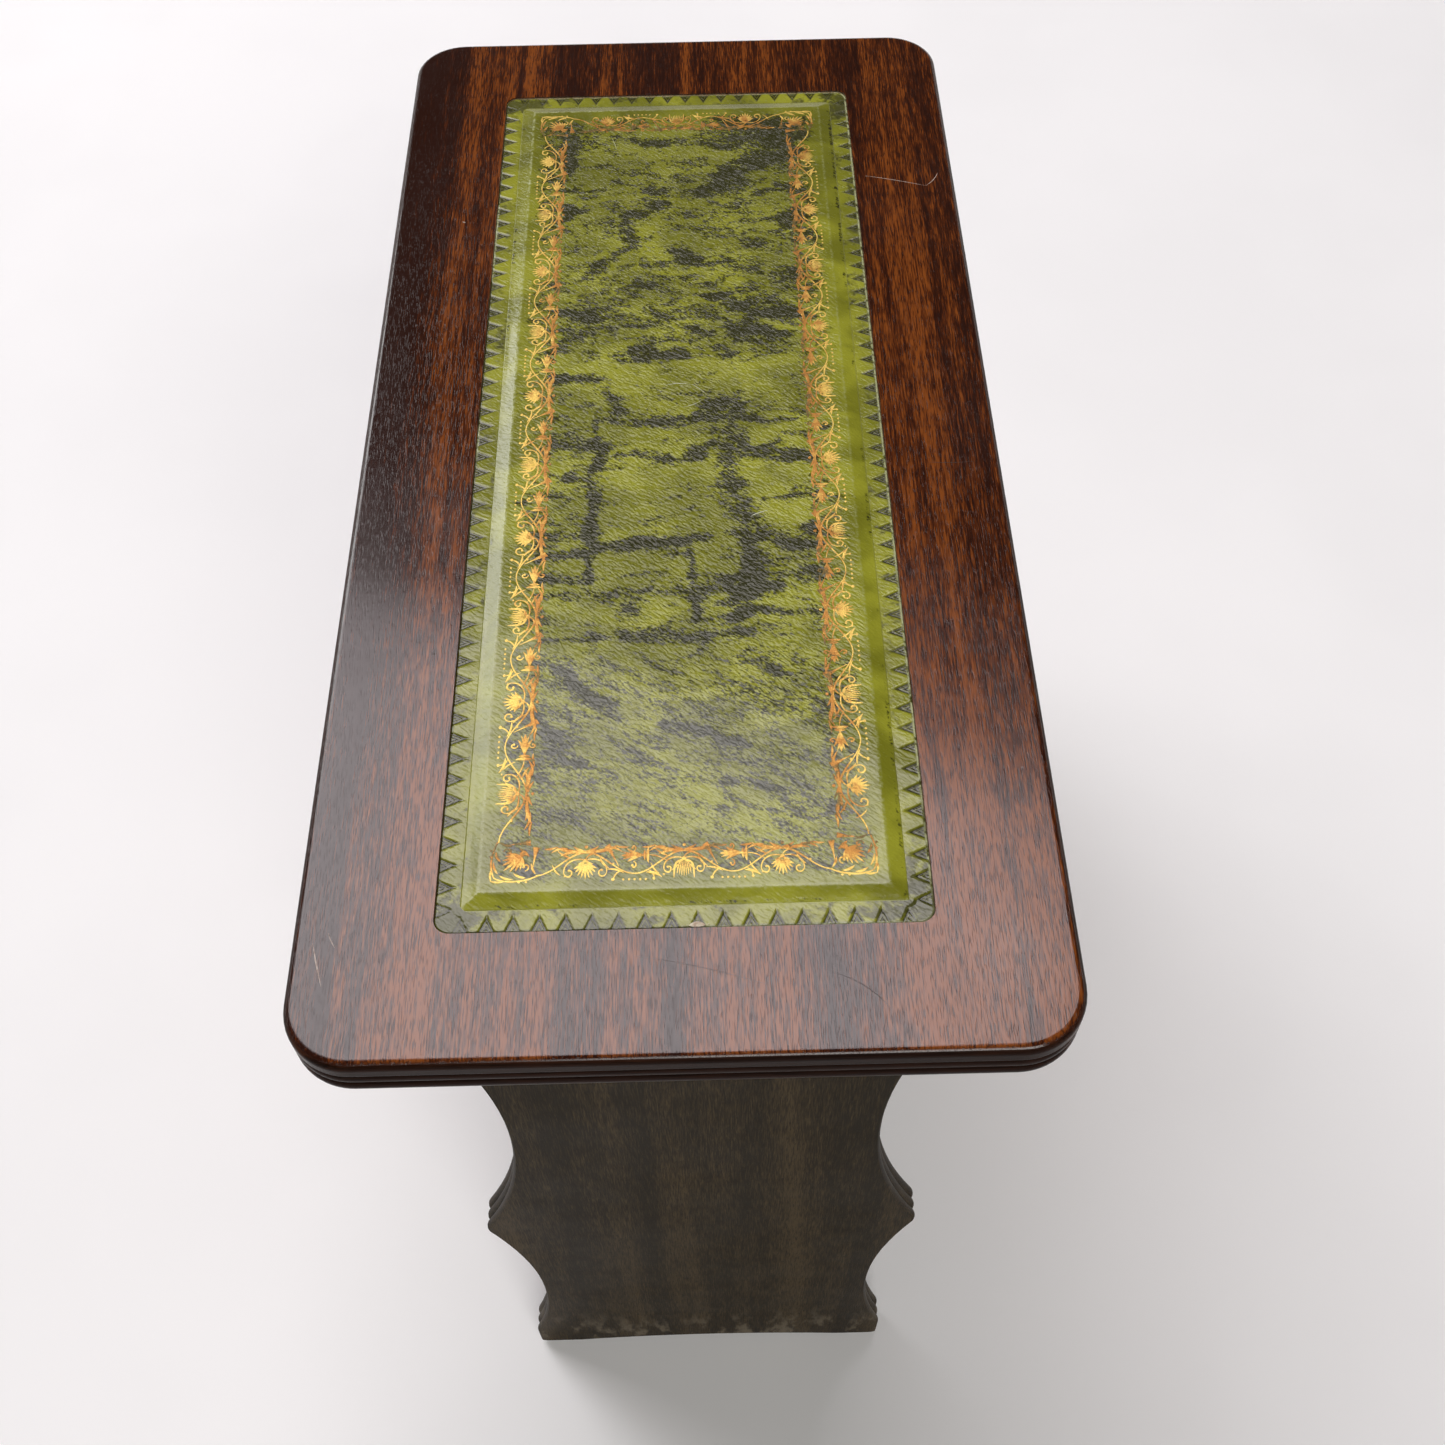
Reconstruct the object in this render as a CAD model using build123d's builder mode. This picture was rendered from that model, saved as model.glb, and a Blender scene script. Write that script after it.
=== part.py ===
from build123d import *
import os
from math import radians, sqrt, tan

# Small side table: a reeded top with a recessed leather panel, on two shaped slab ends
# that hold a V-shaped trough between them.
# Millimetres. The origin is on the floor under the middle of the table, with +X across
# the table, +Y along it and +Z up. "Near" is -Y, "far" is +Y, "left" is -X, "right" is +X.

# ---- Driving sizes ----------------------------------------------------------------------

table_length = 595.0
table_width = 280.0
table_height = 490.0            # floor to the wooden face of the top

top_thickness = 20.0            # with both veneers
veneer_thickness = 0.8
corner_radius = 25.0
lipping_width = 14.0            # solid edging round the core, before it is moulded
tongue_depth = 5.0              # the lipping's tongue, in the core's groove
tongue_height = 5.0
groove_gap = 0.3                # glue room at the tongue's tip
arris_radius = 3.4              # round upper edge of the moulding
upper_reed = 8.3                # height of the upper reed; two equal reeds share the rest
top_reed_depth = 1.2
upper_reed_turn = 1.4           # how far above the groove the upper reed starts to turn in

insert_margin = 50.0            # from the table's edge to the leather's recess
insert_corner = 6.0
insert_gap = 0.2                # between the insert and the recess
insert_board_thickness = 2.5
leather_thickness = 0.9
leather_drop = 0.6              # the leather's border lies below the wooden face
border_width = 9.6              # flat border of the leather
bevel_width = 5.8
field_rise = 2.0                # the middle field stands above the border

end_overhang = 28.0             # from the table's end to the end panel's outer face
panel_thickness = 16.0
panel_top_half_width = 103.0
upper_waist_half_width = 79.0
ear_half_width = 105.0
ear_height = 218.0
ear_radius = 6.0
lower_waist_half_width = 87.5
lower_waist_height = 113.0
foot_half_width = 100.5
toe_height = 22.0               # upright part of the foot
toe_radius = 12.0
foot_corner_radius = 5.0
foot_pad_width = 24.0           # flat part of the foot, at each side
foot_arch_rise = 6.0            # shallow arch between the two pads
panel_reed_count = 3
panel_reed_depth = 1.1

glide_thickness = 1.5           # the glide's domed head, between the panel and the floor
glide_radius = 7.0
glide_inset = 13.0              # from the foot's side to the glide's centre
glide_nail_radius = 1.2
glide_nail_length = 12.0
glide_nail_tip = 2.0
glide_flat_radius = 4.0

trough_board_thickness = 9.0
trough_inset = 17.0             # the rim lies this far inside the ear tips
rim_above_ear = 4.0
rim_radius = 2.5
keel_width = 26.0
keel_depth = 12.0               # under the lowest corner of the trough boards

cleat_size = 18.0               # square section
cleat_half_length = 80.0
cleat_edge_radius = 1.5

screw_radius = 1.9
screw_head_radius = 3.6
screw_head_angle = 82.0
screw_tip = 4.0
screw_slot_width = 0.9
screw_slot_depth = 1.0
top_screw_pitch = 60.0          # three along each cleat
panel_screw_pitch = 66.0        # two along each cleat
screw_cover = 7.0               # wood left over the top screws' tips
panel_cover = 6.0               # wood left beyond whatever ends inside a panel

top_dowel_radius = 4.0
top_dowel_drop = 12.0           # into the end panel
dowel_cover = 5.0               # from a top dowel's tip to the level of the recess's floor
top_dowel_pitch = 150.0
trough_dowel_radius = 3.0
trough_dowel_reach = 18.0       # into the board or the keel
first_trough_dowel = 32.0       # along the board's slope, from the fold of the V
second_trough_dowel = 92.0
dowel_chamfer = 0.8

glue_gap = 0.05                 # round dowels, screws and nails
hole_gap = 0.5                  # left past the end of a dowel, screw or nail
waste = 2.0                     # how far a moulding cutter reaches outside the wood

# ---- Places that follow from them -------------------------------------------------------

half_length = table_length / 2
half_width = table_width / 2
underside = table_height - top_thickness
core_top = table_height - veneer_thickness
core_bottom = underside + veneer_thickness
tongue_bottom = (core_top + core_bottom - tongue_height) / 2

leather_face = table_height - leather_drop
leather_back = leather_face - leather_thickness
recess_floor = leather_back - insert_board_thickness
recess_half_width = half_width - insert_margin
recess_half_length = half_length - insert_margin
insert_width = 2 * (recess_half_width - insert_gap)
insert_length = 2 * (recess_half_length - insert_gap)
insert_radius = insert_corner - insert_gap

panel_outer = half_length - end_overhang
panel_inner = panel_outer - panel_thickness
panel_middle = panel_outer - panel_thickness / 2
panel_bottom = glide_thickness
upper_waist_height = (underside + ear_height) / 2
panel_reach = panel_thickness - panel_cover

trough_half_width = ear_half_width - trough_inset
rim_height = ear_height + rim_above_ear
fold_drop = trough_board_thickness * sqrt(2)
trough_outer_fold = rim_height - trough_half_width
trough_inner_fold = trough_outer_fold + fold_drop

cleat_bottom = underside - cleat_size
cleat_face = panel_inner - cleat_size
cleat_middle = panel_inner - cleat_size / 2
top_screw_tip = recess_floor - screw_cover
top_screw_length = top_screw_tip - cleat_bottom
panel_screw_length = cleat_size + panel_reach
screw_hole_radius = screw_radius + glue_gap

panel_dowel_foot = underside - top_dowel_drop
top_dowel_tip = recess_floor - dowel_cover
trough_dowel_length = trough_dowel_reach + panel_reach

ends = (("near", -1), ("far", 1))


# ---- Shared shapes ----------------------------------------------------------------------

def save(piece, label):
    """Label a finished piece and write it as one file."""
    piece.part.label = label
    export_step(piece.part, f"parts/{label}.step")


def across(side):
    """The upright plane through the middle of one end panel, with sketch axes X and Z."""
    return Plane.XZ.offset(-side * panel_middle)


def draw_panel_edge(line, foot):
    """One side of an end panel, from its top down over the ear to the foot."""
    ear_tip = (ear_half_width, ear_height)
    toe_top = (foot_half_width, toe_height)
    upper = ThreePointArc((panel_top_half_width, underside),
                          (upper_waist_half_width, upper_waist_height), ear_tip)
    lower = ThreePointArc(ear_tip, (lower_waist_half_width, lower_waist_height), toe_top)
    Line(toe_top, (foot_half_width, foot))
    fillet(line.vertices().sort_by_distance(upper @ 1)[0], radius=ear_radius)
    fillet(line.vertices().sort_by_distance(lower @ 1)[0], radius=toe_radius)


def draw_reeds(heights, depth):
    """Round reeds between neighbouring heights, with their crowns on the line x = 0."""
    for low, high in zip(heights, heights[1:]):
        ThreePointArc((-depth, low), (0, (low + high) / 2), (-depth, high))


def screw(length):
    """Slotted countersunk wood screw, its head's face at z = 0 and its tip up."""
    head_height = (screw_head_radius - screw_radius) / tan(radians(screw_head_angle / 2))
    with BuildPart() as blank:
        with BuildSketch(Plane.XZ):
            Polygon((0, 0), (screw_head_radius, 0), (screw_radius, head_height),
                    (screw_radius, length - screw_tip), (0, length), align=None)
        revolve(axis=Axis.Z)
        Box(2 * screw_head_radius, screw_slot_width, 2 * screw_slot_depth, mode=Mode.SUBTRACT)
    return blank.part


def dowel(radius, length):
    """Dowel from z = 0 up, with chamfered ends."""
    with BuildPart() as blank:
        Cylinder(radius, length, align=(Align.CENTER, Align.CENTER, Align.MIN))
        chamfer(blank.edges().filter_by(GeomType.CIRCLE), length=dowel_chamfer)
    return blank.part


def top_screw_points(side):
    """Screws from one cleat up into the core."""
    return [(x, side * cleat_middle) for x in (-top_screw_pitch, 0, top_screw_pitch)]


def top_dowel_points(side):
    """Dowels from one end panel up into the core."""
    return [(x, side * panel_middle) for x in (-top_dowel_pitch / 2, top_dowel_pitch / 2)]


def panel_screw_points():
    """Screws from a cleat out into its end panel, as X and Z."""
    height = underside - cleat_size / 2
    return [(-panel_screw_pitch / 2, height), (panel_screw_pitch / 2, height)]


def board_dowel_points(hand):
    """Dowels in the end of one trough board, as X and Z, in the middle of its thickness."""
    middle_fold = (trough_inner_fold + trough_outer_fold) / 2
    runs = (first_trough_dowel / sqrt(2), second_trough_dowel / sqrt(2))
    return [(hand * run, middle_fold + run) for run in runs]


def glide_points(side):
    """Nailed glides under one end panel."""
    reach = foot_half_width - glide_inset
    return [(x, side * panel_middle) for x in (-reach, reach)]


keel_dowel_point = (0, trough_outer_fold - keel_depth / 2)
trough_dowel_points = board_dowel_points(-1) + board_dowel_points(1) + [keel_dowel_point]


os.makedirs("parts", exist_ok=True)

# ---- Moulded top, whole -----------------------------------------------------------------

with BuildLine(Plane.XY.offset(table_height)) as right_outline:
    FilletPolyline((0, -half_length), (half_width, -half_length), (half_width, half_length),
                   (0, half_length), radius=corner_radius)

# The layers and the edging below are cut from this block, so the moulding runs through them.
with BuildPart() as moulded_top:
    with BuildSketch(Plane.XY.offset(underside)):
        RectangleRounded(table_width, table_length, corner_radius)
        split(bisect_by=Plane.YZ)
    extrude(amount=top_thickness)
    near_end = Plane((0, -half_length, table_height), x_dir=(0, -1, 0), z_dir=(-1, 0, 0))
    with BuildSketch(near_end):
        with BuildLine():
            middle_groove = -(upper_reed + top_thickness) / 2
            turn = (0, -(upper_reed - upper_reed_turn))
            draw_reeds((-top_thickness, middle_groove, -upper_reed), top_reed_depth)
            TangentArc(turn, (-top_reed_depth, -upper_reed), tangent=(0, -1))
            Line(turn, (0, -arris_radius))
            RadiusArc((0, -arris_radius), (-arris_radius, 0), -arris_radius)
            Polyline((-arris_radius, 0), (-arris_radius, waste), (waste, waste),
                     (waste, -top_thickness - waste), (-top_reed_depth, -top_thickness - waste),
                     (-top_reed_depth, -top_thickness))
        make_face()
    sweep(path=right_outline.wire(), mode=Mode.SUBTRACT)
    mirror(about=Plane.YZ)

# ---- Layers of the top ------------------------------------------------------------------

with BuildPart() as top_veneer:
    add(moulded_top.part)
    split(bisect_by=Plane.XY.offset(core_top))
    with BuildSketch(Plane.XY.offset(core_top)):
        RectangleRounded(2 * recess_half_width, 2 * recess_half_length, insert_corner)
    extrude(amount=veneer_thickness, mode=Mode.SUBTRACT)
save(top_veneer, "top_veneer")

with BuildPart() as underside_veneer:
    add(moulded_top.part)
    split(bisect_by=Plane.XY.offset(core_bottom), keep=Keep.BOTTOM)
    with BuildSketch(Plane.XY.offset(underside)):
        for _, side in ends:
            with Locations(*top_screw_points(side)):
                Circle(screw_hole_radius)
            with Locations(*top_dowel_points(side)):
                Circle(top_dowel_radius + glue_gap)
    extrude(amount=veneer_thickness, mode=Mode.SUBTRACT)
save(underside_veneer, "underside_veneer")

core_width = table_width - 2 * lipping_width
core_length = table_length - 2 * lipping_width

with BuildPart() as top_core:
    with BuildSketch(Plane.XY.offset(core_bottom)):
        Rectangle(core_width, core_length)
    extrude(amount=core_top - core_bottom)
    with BuildSketch(Plane.XY.offset(tongue_bottom)):
        Rectangle(core_width, core_length)
        Rectangle(core_width - 2 * (tongue_depth + groove_gap),
                  core_length - 2 * (tongue_depth + groove_gap), mode=Mode.SUBTRACT)
    extrude(amount=tongue_height, mode=Mode.SUBTRACT)
    with BuildSketch(Plane.XY.offset(recess_floor)):
        RectangleRounded(2 * recess_half_width, 2 * recess_half_length, insert_corner)
    extrude(amount=core_top - recess_floor, mode=Mode.SUBTRACT)
    with BuildSketch(Plane.XY.offset(core_bottom)):
        for _, side in ends:
            with Locations(*top_screw_points(side)):
                Circle(screw_hole_radius)
    extrude(amount=top_screw_tip + hole_gap - core_bottom, mode=Mode.SUBTRACT)
    with BuildSketch(Plane.XY.offset(core_bottom)):
        for _, side in ends:
            with Locations(*top_dowel_points(side)):
                Circle(top_dowel_radius + glue_gap)
    extrude(amount=top_dowel_tip + hole_gap - core_bottom, mode=Mode.SUBTRACT)
save(top_core, "top_core")

# Solid edging: four reeded strips, mitred at the corners and tongued into the core.
mitre_reach = lipping_width + tongue_depth
mitre_corners = {
    "near": ((-1, -1), (1, -1)),
    "far": ((-1, 1), (1, 1)),
    "left": ((-1, -1), (-1, 1)),
    "right": ((1, -1), (1, 1)),
}

for edge, (first, last) in mitre_corners.items():
    outer_corners = [(x * half_width, y * half_length) for x, y in (first, last)]
    inner_corners = [(x * (half_width - mitre_reach), y * (half_length - mitre_reach))
                     for x, y in (last, first)]
    with BuildPart() as lipping:
        add(moulded_top.part)
        split(bisect_by=Plane.XY.offset(core_top), keep=Keep.BOTTOM)
        split(bisect_by=Plane.XY.offset(core_bottom))
        with BuildSketch(Plane.XY.offset(core_bottom)):
            Rectangle(core_width, core_length)
        extrude(amount=core_top - core_bottom, mode=Mode.SUBTRACT)
        with BuildSketch(Plane.XY.offset(tongue_bottom)):
            Rectangle(core_width, core_length)
            Rectangle(core_width - 2 * tongue_depth, core_length - 2 * tongue_depth,
                      mode=Mode.SUBTRACT)
        extrude(amount=tongue_height)
        with BuildSketch(Plane.XY.offset(underside)):
            Polygon(*outer_corners, *inner_corners, align=None)
        extrude(amount=top_thickness, mode=Mode.INTERSECT)
    save(lipping, f"lipping_{edge}")

# ---- Leather insert ---------------------------------------------------------------------

field_foot_width = insert_width - 2 * border_width
field_foot_length = insert_length - 2 * border_width
field_width = field_foot_width - 2 * bevel_width
field_length = field_foot_length - 2 * bevel_width


def raised_field(foot_height):
    """Low block with four bevelled sides, from its foot up, as a loft."""
    with BuildPart() as block:
        with BuildSketch(Plane.XY.offset(foot_height)):
            Rectangle(field_foot_width, field_foot_length)
        with BuildSketch(Plane.XY.offset(foot_height + field_rise)):
            Rectangle(field_width, field_length)
        loft()
    return block.part


with BuildPart() as insert_board:
    with BuildSketch(Plane.XY.offset(recess_floor)):
        RectangleRounded(insert_width, insert_length, insert_radius)
    extrude(amount=insert_board_thickness)
save(insert_board, "insert_board")

with BuildPart() as field_board:
    add(raised_field(leather_back))
save(field_board, "field_board")

with BuildPart() as leather_skin:
    with BuildSketch(Plane.XY.offset(leather_back)):
        RectangleRounded(insert_width, insert_length, insert_radius)
    extrude(amount=leather_thickness)
    add(raised_field(leather_face))
    add(raised_field(leather_back), mode=Mode.SUBTRACT)
save(leather_skin, "leather_skin")

# ---- End panels -------------------------------------------------------------------------

for end, side in ends:
    half_thickness = panel_thickness / 2
    with BuildLine(across(side)) as reed_path:
        draw_panel_edge(reed_path, panel_bottom - waste)
    with BuildPart() as end_panel:
        with BuildSketch(across(side)):
            with BuildLine() as half_outline:
                draw_panel_edge(half_outline, panel_bottom)
                pad_edge = foot_half_width - foot_pad_width
                arch_top = panel_bottom + foot_arch_rise
                Line((foot_half_width, panel_bottom), (pad_edge, panel_bottom))
                TangentArc((0, arch_top), (pad_edge, panel_bottom), tangent=(1, 0))
                Polyline((0, arch_top), (0, underside), (panel_top_half_width, underside))
            make_face()
            foot_corner = (foot_half_width, panel_bottom)
            fillet(vertices().sort_by_distance(foot_corner)[0], radius=foot_corner_radius)
        extrude(amount=half_thickness, both=True)
        start = reed_path.wire() @ 0
        outward = (reed_path.wire() % 0).cross(Vector(0, 1, 0))
        with BuildSketch(Plane(start, x_dir=outward, z_dir=outward.cross(Vector(0, 1, 0)))):
            with BuildLine():
                reed_height = panel_thickness / panel_reed_count
                draw_reeds([reed_height * i - half_thickness for i in range(panel_reed_count + 1)],
                           panel_reed_depth)
                reach = half_thickness + waste
                Polyline((-panel_reed_depth, half_thickness), (-panel_reed_depth, reach),
                         (waste, reach), (waste, -reach), (-panel_reed_depth, -reach),
                         (-panel_reed_depth, -half_thickness))
            make_face()
        sweep(path=reed_path.wire(), mode=Mode.SUBTRACT)
        mirror(about=Plane.YZ)
        with BuildSketch(Plane.XZ.offset(-side * panel_inner)):
            with Locations(*panel_screw_points()):
                Circle(screw_hole_radius)
            with Locations(*trough_dowel_points):
                Circle(trough_dowel_radius + glue_gap)
        extrude(amount=-side * (panel_reach + hole_gap), mode=Mode.SUBTRACT)
        with BuildSketch(Plane.XY.offset(underside)):
            with Locations(*top_dowel_points(side)):
                Circle(top_dowel_radius + glue_gap)
        extrude(amount=-top_dowel_drop - hole_gap, mode=Mode.SUBTRACT)
        with BuildSketch(Plane.XY.offset(panel_bottom)):
            with Locations(*glide_points(side)):
                Circle(glide_nail_radius + glue_gap)
        extrude(amount=glide_nail_length + hole_gap, mode=Mode.SUBTRACT)
    save(end_panel, f"end_panel_{end}")

with BuildPart() as foot_glides:
    for _, side in ends:
        for x, y in glide_points(side):
            with BuildSketch(Plane((x, y, 0), x_dir=(1, 0, 0), z_dir=(0, -1, 0))):
                with BuildLine():
                    nail_top = panel_bottom + glide_nail_length
                    Polyline((glide_radius, panel_bottom), (glide_nail_radius, panel_bottom),
                             (glide_nail_radius, nail_top - glide_nail_tip),
                             (0, nail_top), (0, 0), (glide_flat_radius, 0))
                    TangentArc((glide_flat_radius, 0), (glide_radius, panel_bottom),
                               tangent=(1, 0))
                make_face()
            revolve(axis=Axis((x, y, 0), (0, 0, 1)))
save(foot_glides, "foot_glides")

# ---- Trough -----------------------------------------------------------------------------

# The boards and the keel are drilled at the near end. What each has in common with its mirror
# image is the same piece, drilled at both ends.
for name, hand in (("left", -1), ("right", 1)):
    lean = 1 / sqrt(2)
    rim_step = trough_board_thickness * lean
    with BuildPart() as trough_board:
        with BuildSketch(Plane.XZ):
            Polygon((0, trough_outer_fold), (hand * trough_half_width, rim_height),
                    (hand * (trough_half_width - rim_step), rim_height + rim_step),
                    (0, trough_inner_fold), align=None)
            fillet(vertices().group_by(Axis.Y)[-1], radius=rim_radius)
            rim_corner = (hand * trough_half_width, rim_height)
            fillet(vertices().sort_by_distance(rim_corner)[0], radius=rim_radius)
        extrude(amount=panel_inner, both=True)
        with BuildSketch(Plane.XZ.offset(panel_inner)):
            with Locations(*board_dowel_points(hand)):
                Circle(trough_dowel_radius + glue_gap)
        extrude(amount=-trough_dowel_reach - hole_gap, mode=Mode.SUBTRACT)
        mirror(about=Plane.XZ, mode=Mode.INTERSECT)
    save(trough_board, f"trough_board_{name}")

with BuildPart() as trough_keel:
    keel_half = keel_width / 2
    keel_foot = trough_outer_fold - keel_depth
    with BuildSketch(Plane.XZ):
        Polygon((0, trough_outer_fold), (keel_half, trough_outer_fold + keel_half),
                (keel_half, keel_foot), (-keel_half, keel_foot),
                (-keel_half, trough_outer_fold + keel_half), align=None)
        fillet(vertices().group_by(Axis.Y)[0], radius=rim_radius)
    extrude(amount=panel_inner, both=True)
    with BuildSketch(Plane.XZ.offset(panel_inner)):
        with Locations(keel_dowel_point):
            Circle(trough_dowel_radius + glue_gap)
    extrude(amount=-trough_dowel_reach - hole_gap, mode=Mode.SUBTRACT)
    mirror(about=Plane.XZ, mode=Mode.INTERSECT)
save(trough_keel, "trough_keel")

# ---- Cleats, screws and dowels ----------------------------------------------------------

for end, side in ends:
    with BuildPart() as cleat:
        with BuildSketch(Plane.XY.offset(cleat_bottom)):
            with Locations((0, side * cleat_middle)):
                Rectangle(2 * cleat_half_length, cleat_size)
        extrude(amount=cleat_size)
        free_edge = (0, side * cleat_face, cleat_bottom)
        fillet(edges().filter_by(Axis.X).sort_by_distance(free_edge)[0], radius=cleat_edge_radius)
        seat = screw_head_radius + glue_gap
        below = [Plane((x, y, cleat_bottom), z_dir=(0, 0, -1)) for x, y in top_screw_points(side)]
        inside = [Plane((x, side * cleat_face, z), z_dir=(0, -side, 0))
                  for x, z in panel_screw_points()]
        with Locations(*below, *inside):
            CounterSinkHole(screw_hole_radius, seat, cleat_size, screw_head_angle)
    save(cleat, f"cleat_{end}")

with BuildPart() as top_screws:
    for _, side in ends:
        with Locations(*[(x, y, cleat_bottom) for x, y in top_screw_points(side)]):
            add(screw(top_screw_length))
save(top_screws, "top_screws")

with BuildPart() as panel_screws:
    for _, side in ends:
        with Locations(*[Location((x, side * cleat_face, z), (-side * 90, 0, 0))
                         for x, z in panel_screw_points()]):
            add(screw(panel_screw_length))
save(panel_screws, "panel_screws")

with BuildPart() as top_dowels:
    for _, side in ends:
        with Locations(*[(x, y, panel_dowel_foot) for x, y in top_dowel_points(side)]):
            add(dowel(top_dowel_radius, top_dowel_tip - panel_dowel_foot))
save(top_dowels, "top_dowels")

with BuildPart() as trough_dowels:
    for _, side in ends:
        tip = side * (panel_inner + panel_reach)
        with Locations(*[Location((x, tip, z), (side * 90, 0, 0)) for x, z in trough_dowel_points]):
            add(dowel(trough_dowel_radius, trough_dowel_length))
save(trough_dowels, "trough_dowels")
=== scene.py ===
from math import pi, radians

import bpy
import numpy as np
from bpy.props import FloatProperty, FloatVectorProperty, IntProperty, PointerProperty
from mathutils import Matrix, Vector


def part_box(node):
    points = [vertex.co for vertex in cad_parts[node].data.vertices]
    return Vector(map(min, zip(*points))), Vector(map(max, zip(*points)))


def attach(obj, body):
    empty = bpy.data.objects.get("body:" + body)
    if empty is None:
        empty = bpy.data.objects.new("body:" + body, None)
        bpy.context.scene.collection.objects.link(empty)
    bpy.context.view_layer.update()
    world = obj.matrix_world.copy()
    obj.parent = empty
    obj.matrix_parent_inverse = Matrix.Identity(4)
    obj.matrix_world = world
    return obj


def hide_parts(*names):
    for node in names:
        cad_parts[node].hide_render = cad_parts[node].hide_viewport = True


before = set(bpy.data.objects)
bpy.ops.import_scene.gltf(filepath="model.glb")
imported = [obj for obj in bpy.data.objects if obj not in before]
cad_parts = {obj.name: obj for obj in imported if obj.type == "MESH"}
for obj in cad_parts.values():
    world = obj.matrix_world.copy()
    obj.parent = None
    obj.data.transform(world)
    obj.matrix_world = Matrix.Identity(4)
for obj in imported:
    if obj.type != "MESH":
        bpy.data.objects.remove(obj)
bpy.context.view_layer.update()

# Looks of the small side table: lacquered mahogany, a tooled green leather panel and its gold roll.
# Metres. +X across the table, +Y along it, +Z up; near is -Y and far is +Y.
# Lengths named ..._mm are millimetres, and MM turns them into metres.

bl_info = {
    "name": "Side Table with a Tooled Leather Top",
    "version": (1, 0, 0),
    "blender": (4, 5, 0),
    "location": "3D View > Sidebar > Side Table",
    "description": "Finishes for the wooden parts, the pressed leather panel and its gold roll",
    "category": "Object",
}

MM = 0.001

# ---- Places read from the imported CAD parts --------------------------------------------

WOOD_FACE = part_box("top_veneer")[1][2]
SKIN_LOW, SKIN_HIGH = (np.array(corner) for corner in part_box("leather_skin"))
SKIN_HALF_WIDTH = SKIN_HIGH[0]
SKIN_HALF_LENGTH = SKIN_HIGH[1]
ROOT_BODY = "root"


# ---- Settings that a user would change --------------------------------------------------

def length(name, default_mm, description):
    """A length property, given in millimetres and kept in metres."""
    return FloatProperty(name=name, description=description, default=default_mm * MM,
                         min=0.0, unit="LENGTH")


def share(name, default, description):
    """A property from 0 to 1."""
    return FloatProperty(name=name, description=description, default=default,
                         min=0.0, max=1.0, subtype="FACTOR")


def colour(name, default, description):
    """A colour property, as linear red, green and blue."""
    return FloatVectorProperty(name=name, description=description, default=default,
                               min=0.0, max=1.0, size=3, subtype="COLOR")


def watts(name, default, description):
    """The power of a light."""
    return FloatProperty(name=name, description=description, default=default, min=0.0)


def repeats(name, default, description):
    """How many times a flower of the roll comes along a side."""
    return IntProperty(name=name, description=description, default=default, min=1)


class WoodSettings(bpy.types.PropertyGroup):
    """Stain and lacquer of the mahogany."""
    top_dark: colour("Top, dark streaks", (0.020, 0.0036, 0.0007), "Darkest grain of the top")
    top_red: colour("Top, body", (0.074, 0.0155, 0.0018), "Main colour of the top")
    top_amber: colour("Top, bright streaks", (0.215, 0.056, 0.0075), "Lightest ribbons of the top")
    edge_dark: colour("Edging, dark", (0.0050, 0.0018, 0.0008), "Stain left in the grooves")
    # Partly rubbed wear, partly a painted highlight on the crowns and the arris.
    edge_worn_and_highlit: colour("Edging, rubbed", (0.034, 0.0095, 0.0030), "Crowns and arris rubbed lighter")
    panel_dark: colour("Ends, dark", (0.015, 0.0110, 0.0055), "Darkest grain of the end panels")
    panel_body: colour("Ends, body", (0.034, 0.0235, 0.0110), "Main colour of the end panels")
    gloss: share("Lacquer roughness", 0.16, "Roughness of the lacquer on the top")


class LeatherSettings(bpy.types.PropertyGroup):
    """Shape and colour of the leather panel."""
    tooth_pitch: length("Tooth pitch", 9.35, "Spacing of the pressed teeth")
    tooth_length: length("Tooth length", 7.4, "From the panel's edge to the tooth's point")
    tooth_base: length("Tooth base", 6.9, "Width of a tooth at the panel's edge")
    press_depth: length("Press depth", 0.55, "How deep the teeth are pressed")
    border: length("Border", 9.6, "Flat border round the raised field")
    bevel: length("Bevel", 5.8, "Width of the slope up to the field")
    border_drop: length("Border drop", 0.6, "The border lies below the wood")
    green: colour("Green", (0.305, 0.312, 0.024), "Top colour of the hide")
    deep_green: colour("Deep green", (0.165, 0.170, 0.010), "Second, darker tone of the hide")
    antique: colour("Antique stain", (0.024, 0.024, 0.0045), "Dark stain wiped into the hide")
    # Pale colour of rubbed edges, also used for painted highlights along the leather's edges.
    worn: colour("Worn edge", (0.52, 0.55, 0.30), "Rubbed edges of the leather")


class GoldSettings(bpy.types.PropertyGroup):
    """The gold roll on the leather's field."""
    inset: length("Inset", 18.7, "From the panel's edge to the gold roll")
    width: length("Width", 15.2, "Width of the gold roll")
    repeats_short: repeats("Repeats, ends", 3, "Flowers along each end of the panel")
    repeats_long: repeats("Repeats, sides", 10, "Flowers along each side of the panel")
    bright: colour("Bright gold", (0.84, 0.58, 0.13), "Gold leaf where it is whole")
    rubbed: colour("Rubbed gold", (0.48, 0.205, 0.036), "Coppery gold where it is worn")


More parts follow.
